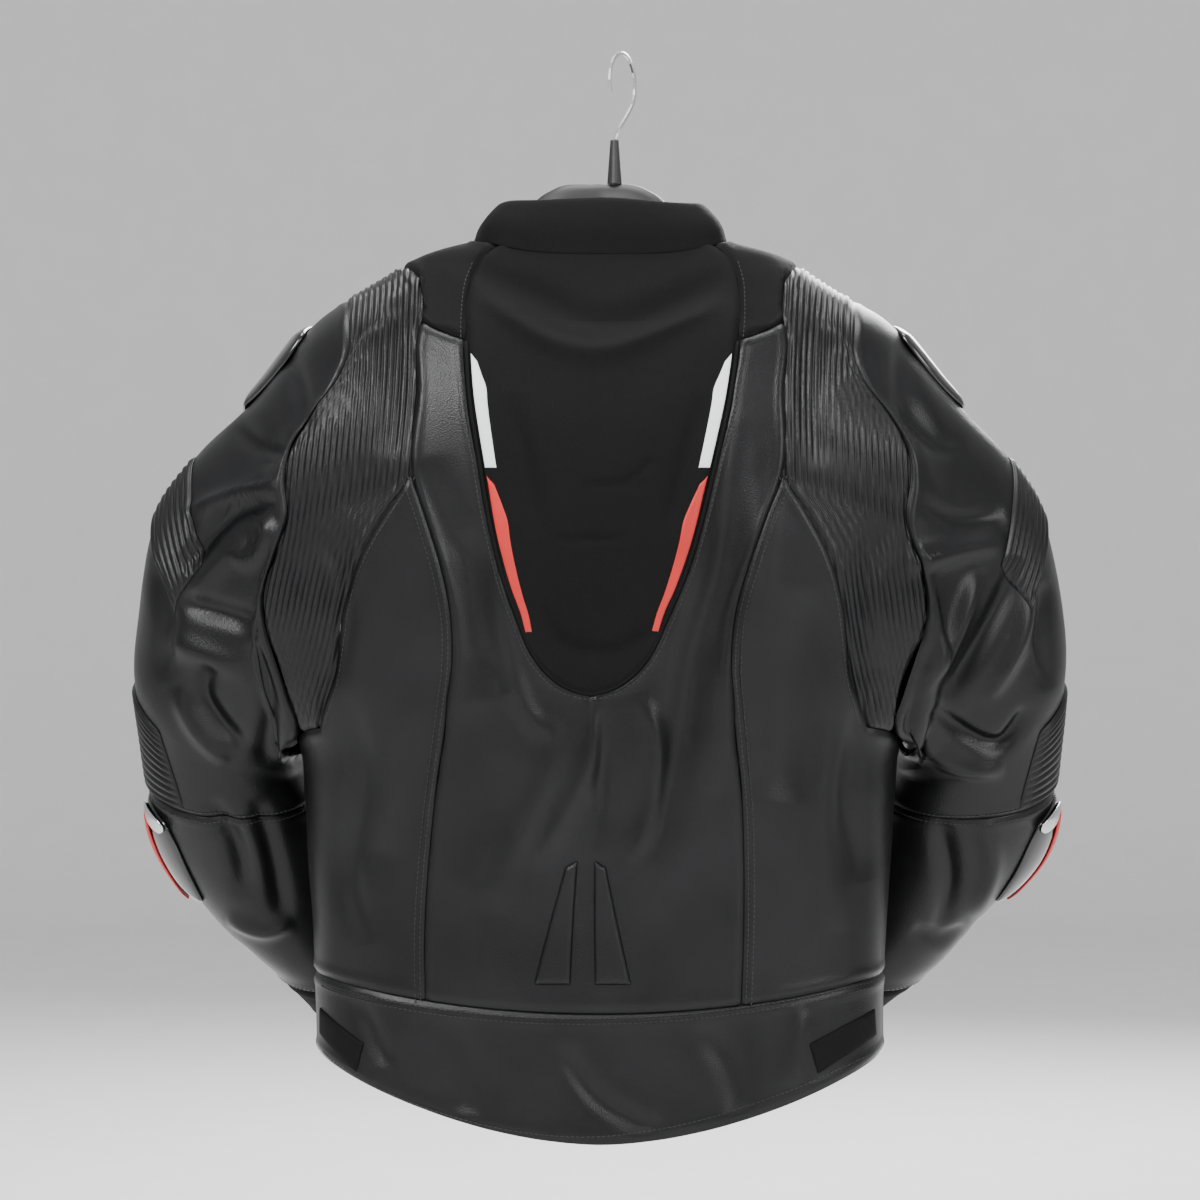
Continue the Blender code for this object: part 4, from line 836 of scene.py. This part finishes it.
def neck_front(steps, side):
    """The neck seam on one front: a flattened ellipse from the zip to the shoulder, as turns and heights."""
    x = NECK_SIDE_X * np.sin(steps * math.pi / 2)
    z = NECK_SIDE_Z + (NECK_FRONT_Z - NECK_SIDE_Z) * (1 - (x / NECK_SIDE_X) ** 2) ** 0.8
    turn = math.pi - turn_at(x, half_width(z))
    return np.stack([side * np.minimum(turn, math.pi - ZIP_HALF_TURN), z], axis=1)


for tag, side in SIDES:
    end = math.pi - ZIP_HALF_TURN
    top, armhole = neck_front(FRONT_STEPS, side), on_front(ARMHOLE_FRONT_POINTS, side)
    shoulder = side_seam(NECK_SIDE_Z, ARMHOLE_TOP_Z, 4, side)
    seam = side_seam(ARMPIT_Z, HEM_SEAM_SIDE_Z, 6, side)
    armhole[0], armhole[-1] = shoulder[-1], seam[0]
    outer = np.vstack([shoulder, armhole[1:], seam[1:]])
    drop = (NECK_FRONT_Z - NECK_SIDE_Z) * np.exp((outer[:, 1] - NECK_SIDE_Z) / 80.0)
    z = outer[:, 1] + drop + (FRONT_SEAM_Z - HEM_SEAM_SIDE_Z) * fractions_of(outer[:, 1])
    middle = np.stack([np.full(len(outer), side * end), z], axis=1)
    turn = end + (math.pi / 2 - end) * FRONT_STEPS
    rise = (HEM_SEAM_SIDE_Z - FRONT_SEAM_Z) * np.sin(turn) ** 2
    bottom = np.stack([side * turn, FRONT_SEAM_Z + rise], axis=1)
    top[0], top[-1], bottom[0], bottom[-1] = middle[0], outer[0], middle[-1], outer[-1]
    u, v = FRONT_STEPS[None, :, None], fractions_of(outer[:, 1])[:, None, None]
    flat = middle[:, None] + (outer - middle)[:, None] * np.concatenate([u, 1 - (1 - u) ** 2], axis=-1)
    flat += (top - flat[0]) * (1 - v) ** 4 + (bottom - flat[-1]) * v ** 4
    cloth("front_" + tag, [panel(fine_grid(flat, (8, 8), (3, 14)), "tblr")], "leather")

# %% [markdown]
# ## The zip
# A moulded zip is two woven tapes with a row of teeth on each, one row set half a step from the other. One
# tooth is a small block, and the whole chain is that block's corners added to every place along the line at
# once.

# %% Zip tape and teeth
TOOTH_STEP, TOOTH_SIZE, TOOTH_DEPTH = 2.4, (1.5, 1.1, 0.75), 0.9
TAPE_HALF_TURN, TAPE_DEPTH = 0.05, 2.0
BLOCK = np.array([(x, y, z) for x in (-1, 1) for y in (-1, 1) for z in (-1, 1)], dtype=float)
BLOCK_FACES = np.array([(0, 1, 3, 2), (4, 6, 7, 5), (0, 4, 5, 1), (2, 3, 7, 6), (0, 2, 6, 4), (1, 5, 7, 3)])


def repeated(name, corners, faces, centres, axes, look):
    """One mesh of the same small solid at many places: corner times local axes, plus the place."""
    points = centres[:, None] + np.einsum("ck,nkd->ncd", corners, axes)
    first_corners = (np.arange(len(centres)) * len(corners))[:, None, None]
    all_faces = (faces[None] + first_corners).reshape(-1, faces.shape[1])
    return linked(name, points.reshape(-1, 3), all_faces, look)


z = np.arange(NECK_FRONT_Z - 4, FRONT_EDGE_Z + 5, -TOOTH_STEP / 2)
spine = np.stack([np.full(len(z), math.pi), z], axis=1)
points, out = skin(spine)
axes = frames(points, out)
hand = np.where(np.arange(len(z)) % 2 == 0, 1.0, -1.0)
centres = points + axes[:, 0] * hand[:, None] - out * TOOTH_DEPTH
teeth = repeated("front_zip_teeth", BLOCK * TOOTH_SIZE, BLOCK_FACES, centres, axes, "zip")
tell(teeth, "zip")
turn = np.linspace(math.pi - TAPE_HALF_TURN, math.pi + TAPE_HALF_TURN, 15)
height = np.linspace(NECK_FRONT_Z - 2, FRONT_EDGE_Z + 3, 120)
flat = np.stack(np.broadcast_arrays(turn[None], height[:, None]), axis=-1)
base, out = skin(flat)
cloth("front_zip_tape", [(base - out * TAPE_DEPTH, out)], "matte", thick=0.5, node="front_zip")


def painted(name, look):
    """A CAD node keeps its own shape and gets a finish."""
    nodes[name].data.materials.clear()
    nodes[name].data.materials.append(LOOKS[look])


painted("zip_slider", "steel")
painted("zip_pull", "steel")
print("teeth:", len(z))

# %% [markdown]
# ## The collar
# The stand collar is soft stretch cloth with a rolled upper rim, and it leans in towards the neck. Its
# lower edge is the neck seam all the way round, and it is open at the zip.

# %% Stand collar
back = on_back(np.vstack([neck_back(-NECK_SIDE_X, -YOKE_TOP_X, 10),
                          neck_back(-YOKE_TOP_X, YOKE_TOP_X, 60)[1:],
                          neck_back(YOKE_TOP_X, NECK_SIDE_X, 10)[1:]]))
steps = np.linspace(1, 0.02, 50)
right, left = neck_front(steps, 1), neck_front(steps, -1)[::-1]
back[0], back[-1] = left[-1], right[0]
seam = np.vstack([left[:-1], back, right[1:]])
base = torso(seam[:, 0], seam[:, 1])
rim = base * (0.82, 0.9, 1.0)
rim[:, 2] += COLLAR_HEIGHT - COLLAR_SIDE_DROP * (np.abs(base[:, 0]) / NECK_SIDE_X) ** 2
middle = np.array([0, 5.0, 0])
f = np.concatenate([[0, 0.02], np.linspace(0.07, 0.93, 12), [0.97, 0.99, 1]])[::-1, None]
collar = base[None] + (rim - base)[None] * f[..., None]
collar[..., :2] += (collar - middle)[..., :2] * 0.05 * np.sin(math.pi * f)[..., None]
collar[..., 2] -= 1.0 * (1 - f)
away = unit((collar - middle) * (1, 1, 0))
number = np.arange(len(seam))[None]
wave = 0.8 * np.sin(number * 0.21) * f + 0.6 * np.sin(number * 0.083) * f
roll = -2.0 * np.clip((f - 0.93) / 0.07, 0, 1) ** 2 + 1.0 * np.exp(-(f / 0.12) ** 2)
collar += away * (wave + roll)[..., None]
cloth("collar", [(collar, away)], "matte", thick=3.0)

# %% [markdown]
# ## Sleeves
# A sleeve is a row of rings. Each ring is an ellipse between its outer and its inner point, and the first
# few melt into the armhole's own line, so that the sleeve starts exactly on its seam. The rings follow the
# arm as it hangs, out from the shoulder, down, and in again below the elbow.

# %% Sleeve surface
SLEEVE = np.array([(224, 228, -208, 230, -526, 0, 77), (260, 266, -259, 232, -529, 3, 75),
                   (302, 305, -301, 232, -532, 9, 71), (333, 332, -345, 232, -535, 17, 68),
                   (348, 349, -418, 230, -540, 29, 65), (352, 352, -474, 227, -547, 42, 63),
                   (347, 350, -553, 218, -560, 60, 60), (336, 340, -603, 205, -602, 80, 56),
                   (302, 297, -653, 186, -650, 102, 51), (263, 265, -692, 166, -684, 123, 47),
                   (225, 219, -735, 144, -712, 141, 43)], dtype=float)
ELBOW_RING, CUFF_RING, LAST_RING = 7.0, 10.3, 11.0


def armhole_ring(side, fractions):
    """Points of the armhole at fractions of the way round: half of them behind, half in front."""
    back, front = on_back(ARMHOLE_BACK_POINTS, side), on_front(ARMHOLE_FRONT_POINTS, side)
    back[0, 0] = back[-1, 0] = front[0, 0] = front[-1, 0] = side * math.pi / 2
    halves = []
    for edge, share in ((back, np.clip(fractions * 2, 0, 1)), (front, np.clip(2 - fractions * 2, 0, 1))):
        fine = finer(edge, 8)
        points = torso(fine[:, 0], fine[:, 1])
        number = np.arange(len(points))
        halves.append(read_at(share * number[-1], number, points))
    return np.where((fractions <= 0.5)[:, None], halves[0], halves[1])


def sleeve_grid(side, rings, fractions):
    """Rings as rows: centre plus half chord times cosine plus depth times sine, melting into the armhole."""
    outer_x = SLEEVE[:, 0] if side < 0 else SLEEVE[:, 1]
    table = np.vstack([[189, -185, 228, ARMPIT_Z, 0, 78], np.column_stack([outer_x, SLEEVE[:, 2:]])])
    knots = np.arange(len(table), dtype=float)
    out_x, out_z, in_x, in_z, mid_y, depth = (smooth(rings, knots, table[:, k]) for k in range(6))
    tip = np.stack([side * out_x, mid_y, out_z], axis=1)
    pit = np.stack([side * in_x, mid_y, in_z], axis=1)
    centre = (tip + pit) / 2
    start = np.array([side * (table[0, 0] + table[0, 2]) / 2, table[0, 4], (table[0, 1] + table[0, 3]) / 2])
    fine = np.linspace(0, len(table) - 1, 120)
    path = np.stack([smooth(fine, knots, v) for v in (side * (table[:, 0] + table[:, 2]) / 2, table[:, 4],
                                                      (table[:, 1] + table[:, 3]) / 2)], axis=1)
    way = read_at(rings, fine, np.gradient(path, axis=0))
    chord = unit(tip - pit)
    behind = unit(np.cross(way, chord))
    behind *= -np.sign(behind[:, 1:2])
    turn = 2 * math.pi * fractions
    half = np.linalg.norm(tip - pit, axis=1) / 2
    round_part = (centre[:, None] + (half[:, None] * np.cos(turn))[..., None] * chord[:, None]
                  + (depth[:, None] * np.sin(turn))[..., None] * behind[:, None])
    moved = armhole_ring(side, np.mod(fractions, 1.0))[None] + (centre - start)[:, None]
    share = np.clip(rings / 2.6, 0, 1)
    share = (share * share * (3 - 2 * share))[:, None, None]
    return moved * (1 - share) + round_part * share


def outwards(grid, side, rings):
    """Unit normals of a sleeve grid, pointing away from the middle of each ring."""
    normal = np.cross(np.gradient(grid, axis=1), np.gradient(grid, axis=0))
    normal /= np.maximum(np.linalg.norm(normal, axis=-1, keepdims=True), 1e-9)
    centre = sleeve_grid(side, rings, np.linspace(0, 1, 25)[:-1]).mean(axis=1, keepdims=True)
    return normal * np.sign(((grid - centre) * normal).sum(axis=-1, keepdims=True))


def sleeve_piece(name, side, first, last, count, look, columns=150):
    """A closed band of the sleeve, with its folds and with its two seams rolled in."""
    rings, fractions = np.linspace(first, last, count), np.linspace(0, 1, columns + 1)
    rings = np.concatenate([[rings[0], rings[0] * 0.7 + rings[1] * 0.3], rings[1:-1],
                            [rings[-1] * 0.7 + rings[-2] * 0.3, rings[-1]]])
    base = sleeve_grid(side, rings, fractions)
    out = outwards(base, side, rings)
    out[:, 0] = out[:, -1] = (out[:, 1] + out[:, -2]) / 2
    gaps = edge_gaps(base)
    calm = np.clip(gaps["t"] / 12, 0, 1) if first == 0 else 1.0
    height = folded(base, out) * calm + rolled(gaps["t"]) + rolled(gaps["b"])
    points = base + out * height[..., None]
    points[:, -1] = points[:, 0]
    cloth(name, [(points, out)], look)


for tag, side in SIDES:
    sleeve_piece("sleeve_upper_" + tag, side, 0, ELBOW_RING, 110, "leather")
    sleeve_piece("sleeve_lower_" + tag, side, ELBOW_RING, CUFF_RING, 60, "leather", 130)
    sleeve_piece("cuff_" + tag, side, CUFF_RING, LAST_RING, 14, "matte", 120)

# %% [markdown]
# ## Ribs and sliders on the sleeves
# The upper arms and elbows carry small ribbed patches. The sliders are glossy moulded shells that a rider
# may put down on the road. A shell is a square of parameters pressed into a round outline and crowned; a
# bright crescent and a red edge finish the elbow's.

# %% Patches and shells
def on_sleeve(side, ring_line, fractions, height):
    """Points on the folded sleeve at rings and fractions of the way round, lifted by a height."""
    base = sleeve_grid(side, ring_line, fractions)
    out = outwards(base, side, ring_line)
    return base + out * (folded(base, out) + height)[..., None], out


def ribbed_patch(name, side, rings, turns, ribs):
    """A ribbed piece: its height is the size of a sine along the sleeve, and its edges sink in."""
    v, u = np.linspace(0, 1, ribs * 8 + 1), np.linspace(0, 1, 40)
    ring_line = rings[0] + (rings[1] - rings[0]) * v
    fractions = turns[0] + (turns[1] - turns[0]) * u
    edge = np.minimum(np.minimum(u, 1 - u)[None] * 14, np.minimum(v, 1 - v)[:, None] * 20)
    crest = np.abs(np.sin(math.pi * ribs * (v[:, None] + 0.006 * np.sin(u[None] * 9)))) ** 0.7
    height = 0.6 + np.clip(edge, 0, 1) * (0.5 + 2.0 * crest)
    cloth(name, [on_sleeve(side, ring_line, fractions, height)], "ribbed", thick=1.0)


def shell_grid(side, rings, turns, outline, crown, lift, count=40):
    """Square parameters pressed into a round outline, then crowned by one less the distance squared."""
    a = np.linspace(-1, 1, count)
    u, v = np.meshgrid(a, a)
    disc_u, disc_v = u * np.sqrt(1 - outline * v ** 2 / 2), v * np.sqrt(1 - outline * u ** 2 / 2)
    ring = (rings[0] + rings[1]) / 2 + (rings[1] - rings[0]) / 2 * disc_v
    fraction = (turns[0] + turns[1]) / 2 + (turns[1] - turns[0]) / 2 * disc_u
    rows = np.linspace(rings[0], rings[1], 60)
    columns = np.linspace(turns[0], turns[1], 60)
    base = sleeve_grid(side, rows, columns)
    out = outwards(base, side, rows)
    at_row = (ring - rows[0]) / (rows[-1] - rows[0]) * 59
    at_column = (fraction - columns[0]) / (columns[-1] - columns[0]) * 59
    r, c = np.clip(at_row.astype(int), 0, 58), np.clip(at_column.astype(int), 0, 58)
    f, g = (at_row - r)[..., None], (at_column - c)[..., None]

    def read(values):
        """Values of the sleeve's grid at the shell's points, mixed from the four around each."""
        return ((values[r, c] * (1 - f) + values[r + 1, c] * f) * (1 - g)
                + (values[r, c + 1] * (1 - f) + values[r + 1, c + 1] * f) * g)

    from_edge = 1 - np.maximum(np.abs(u), np.abs(v)) ** 2
    height = lift + crown * from_edge ** 0.5
    normal = read(out)
    return read(base) + normal * height[..., None], normal


SHELL_THICK, TRIM_THICK = 2.0, 1.2
for tag, side in SIDES:
    ribbed_patch("biceps_rib_" + tag, side, (3.0, 4.0), (0.03, 0.2), 8)
    ribbed_patch("elbow_rib_" + tag, side, (5.95, 6.95), (-0.12, 0.17), 12)
    shoulder = shell_grid(side, (1.1, 2.3), (-0.1, 0.045), 0.75, 7.0, 1.0)
    elbow = shell_grid(side, (7.12, 8.7), (-0.11, 0.13), 0.7, 6.0, 1.0)
    trim = shell_grid(side, (7.3, 8.66), (-0.01, 0.058), 0.8, 1.6, 7.6, 24)
    crescent = shell_grid(side, (7.16, 7.46), (0.0, 0.11), 0.9, 2.0, 5.6, 24)
    thickened("shoulder_shell_cap_" + tag, [shoulder], "shell", SHELL_THICK, "shoulder_shell_" + tag)
    thickened("elbow_shell_cap_" + tag, [elbow], "shell", SHELL_THICK, "elbow_shell_" + tag)
    thickened("elbow_shell_trim_" + tag, [trim], "red", TRIM_THICK)
    thickened("elbow_shell_crescent_" + tag, [crescent], "steel", TRIM_THICK)
print("patches and shells ready")

# %% [markdown]
# ## Stitches
# Leather is topstitched beside its seams, in two rows where a seam takes weight. A stitch is a short, fat
# bead of thread that sinks at both ends. As with the zip's teeth, one bead's corners are added to every
# place at once.

# %% Topstitching
STITCH_STEP, STITCH_HALF, STITCH_RADIUS = 3.8, 1.45, 0.42
STATIONS, SHARES = np.array([-1.0, -0.55, 0.55, 1.0]), np.array([0.3, 1.0, 1.0, 0.3])
ROUND = np.linspace(0, 2 * math.pi, 7)[:-1]
BEAD = np.stack([(STITCH_RADIUS * SHARES[:, None] * np.cos(ROUND)).ravel(),
                 (STITCH_RADIUS * SHARES[:, None] * np.sin(ROUND) - 0.25 * STATIONS[:, None] ** 4).ravel(),
                 np.repeat(STATIONS * STITCH_HALF, 6)], axis=1)
BEAD_FACES = np.array([(6 * r + c, 6 * r + (c + 1) % 6, 6 * r + 6 + (c + 1) % 6, 6 * r + 6 + c)
                       for r in range(3) for c in range(6)] + [(5, 4, 3, 2), (5, 2, 1, 0),
                                                               (18, 19, 20, 21), (18, 21, 22, 23)])


def beads_along(points, out):
    """Centres and local axes of stitches, one step apart by length."""
    length = walk(points)
    at = np.arange(STITCH_STEP / 2, length[-1], STITCH_STEP)
    centres = read_at(at, length, points)
    return centres, frames(centres, unit(read_at(at, length, out)))


def beside(line, gap):
    """A line of distance and height, moved sideways by a gap in millimetres."""
    way = unit(np.gradient(line, axis=0))
    return line + np.stack([way[:, 1], -way[:, 0]], axis=1) * gap


def sewn(name, lines):
    """All of one group's stitches as one mesh."""
    centres, axes = (np.concatenate(values) for values in zip(*[beads_along(*line) for line in lines]))
    piece = repeated(name, BEAD, BEAD_FACES, centres, axes, "thread")
    piece.data.shade_smooth()
    tell(piece, "leather")
    return len(centres)


back_lines = []
for tag, side in SIDES:
    for seam, gap, lift in ((princess(side), -3.0, 0.9), (princess(side), -7.0, 0.9), (NOTCH, -5.0, 0.7),
                            (RIBS_LOWER_POINTS, 4.0, 0.9), (SHOULDER_SEAM[2:], -3.5, 0.9)):
        back_lines.append(on_torso(on_back(beside(finer(seam, 8), gap), side), lift))
across = np.linspace(-205, 205, 160)
for gap in (3.0, 7.0):
    back_lines.append(on_torso(on_back(np.stack([across, hem_seam(across) - gap], axis=1)), 0.9))
back_lines.append(on_torso(on_back(np.stack([across, hem_edge(across) + 6.0], axis=1)), 0.7))
count = sewn("back_stitches", back_lines)
for tag, side in SIDES:
    lines = []
    for ring in (ELBOW_RING - 0.07, ELBOW_RING + 0.07, CUFF_RING - 0.1):
        points, out = on_sleeve(side, np.array([ring, ring + 0.02]), np.linspace(0, 1, 140), 0.75)
        lines.append((points[0], out[0]))
    z = np.linspace(NECK_FRONT_Z - 6, FRONT_SEAM_Z + 4, 200)
    turn = np.full(200, side * (math.pi - ZIP_HALF_TURN - 0.05))
    lines.append(on_torso(np.stack([turn, z], axis=1), 0.8))
    count += sewn("sleeve_stitches_" + tag, lines)
print("stitches:", count)

# %% [markdown]
# ## The hanger
# A moulded coat hanger is a smooth bar whose section swells towards the shoulders. It is drawn as an
# ellipse carried from one arm's end to the other, with the height of its upper edge read from a table. The
# neck and the wire hook keep the CAD model's own shape, and get a finish.

# %% Hanger
HANGER_TOP = np.array([(0, -97.5), (34, -101), (50, -112), (62, -130), (78, -154), (97, -164)], dtype=float)
ARM_END, ARM_ROUND, ARM_SIDES, CLOTH_ABOVE = 178.0, 18.0, 41, 3.0
SLOPE_X, SLOPE_Z = HANGER_TOP[-1]
x = np.concatenate([-ARM_END + ARM_ROUND * np.linspace(0, 1, 10) ** 2, np.linspace(-158, 158, 120),
                    ARM_END - ARM_ROUND * np.linspace(1, 0, 10) ** 2])
heights = np.linspace(-186, -142, 60)
under = np.interp(np.abs(x), half_width(heights)[::-1], heights[::-1]) - CLOTH_ABOVE
own = smooth(np.minimum(np.abs(x), SLOPE_X), *HANGER_TOP.T)
upper = np.where(np.abs(x) < SLOPE_X, own, np.minimum(under, SLOPE_Z))
taper = 1 - np.maximum(0, (np.abs(x) - 160) / ARM_ROUND) ** 2 * 0.75
tall = (34 - 14 * np.minimum(1, np.abs(x) / 100)) * taper
deep = (8 + 9 * np.minimum(1, np.abs(x) / 120)) * taper
turn = np.linspace(0, 2 * math.pi, ARM_SIDES)
ring = np.stack([np.repeat(x[:, None], ARM_SIDES, axis=1), deep[:, None] * np.cos(turn),
                 upper[:, None] - tall[:, None] / 2 * (1 - np.sin(turn))], axis=-1)
tips = ring.mean(axis=1, keepdims=True).repeat(ARM_SIDES, axis=1)
ring = np.concatenate([tips[:1], ring, tips[-1:]])
body = mesh_of("hanger_bar", [(ring, ring - ring.mean(axis=1, keepdims=True))], "moulded")
tell(body, "moulded", "hanger_body")
painted("hanger_neck", "moulded")
painted("hanger_hook", "steel")
print("hanger width:", round((x[-1] - x[0]) * MM, 3), "m")

# %% [markdown]
# ## Studio
# A pale bowl stands for the floor and the walls, so the object has an even ground from every side. Large,
# soft lights draw broad highlights on black leather, which shows nothing but what it reflects. The camera
# stands level behind the jacket, as in the picture.

# %% Floor, lights and camera
FLOOR_Z, FLAT_RADIUS, BEND, WALL_TOPS, BOWL_SIDES = -1.05, 5.0, 1.5, [3.5, 6.0], 65
bend = np.linspace(0.1, math.pi / 2, 14)
radius = np.concatenate([[0.0], np.linspace(0.4, FLAT_RADIUS, 12), FLAT_RADIUS + BEND * np.sin(bend),
                         [FLAT_RADIUS + BEND] * 2])
rise = np.concatenate([np.zeros(13), BEND * (1 - np.cos(bend)), WALL_TOPS])
turn = np.linspace(0, 2 * math.pi, BOWL_SIDES)
bowl = np.stack([radius[:, None] * np.cos(turn), radius[:, None] * np.sin(turn),
                 np.repeat(rise[:, None] + FLOOR_Z, BOWL_SIDES, axis=1)], axis=-1)
LOOKS["floor"] = finish("pale_floor", (0.8, 0.8, 0.8), (0.82, 0.82, 0.82), (0.85, 0.95), 40, 0.0)
mesh_of("studio_floor", [(bowl / MM, -bowl)], "floor")
world = bpy.data.worlds.new("studio")
world.use_nodes = True
sky = world.node_tree.nodes["Background"].inputs
sky["Color"].default_value, sky["Strength"].default_value = (1, 1, 1, 1), 0.6
bpy.context.scene.world = world
for name, place, aim, size, power in (("key", (-1.1, -2.0, 1.2), (0, 0, -0.4), 1.0, 95),
                                      ("fill", (1.7, -2.0, 0.5), (0.1, 0, -0.45), 1.0, 45),
                                      ("top", (0.1, 0.2, 1.8), (0, 0, -0.4), 1.2, 60),
                                      ("front", (0.6, 2.2, 0.9), (0, 0, -0.4), 1.2, 90)):
    lamp = bpy.data.lights.new(name, "AREA")
    lamp.size, lamp.energy = size, power
    light = bpy.data.objects.new(name, lamp)
    light.location = place
    way = np.array(aim) - np.array(place)
    light.rotation_euler = (math.acos(-unit(way)[2]), 0, math.atan2(way[1], way[0]) - math.pi / 2)
    bpy.context.collection.objects.link(light)
VIEW_WIDTH, CAMERA_BACK, SENSOR, PATTERN_PLANE_Y = 0.9, 3.2, 36.0, -0.03
CAMERA_X, CAMERA_Z = -0.017, -0.4125
lens = bpy.data.cameras.new("camera")
lens.lens = SENSOR * (CAMERA_BACK + PATTERN_PLANE_Y) / VIEW_WIDTH
lens.sensor_width = SENSOR
camera = bpy.data.objects.new("camera", lens)
camera.location = (CAMERA_X, -CAMERA_BACK, CAMERA_Z)
camera.rotation_euler = (math.pi / 2, 0, 0)
bpy.context.collection.objects.link(camera)
bpy.context.scene.camera = camera
print("lens:", round(lens.lens, 1), "mm")
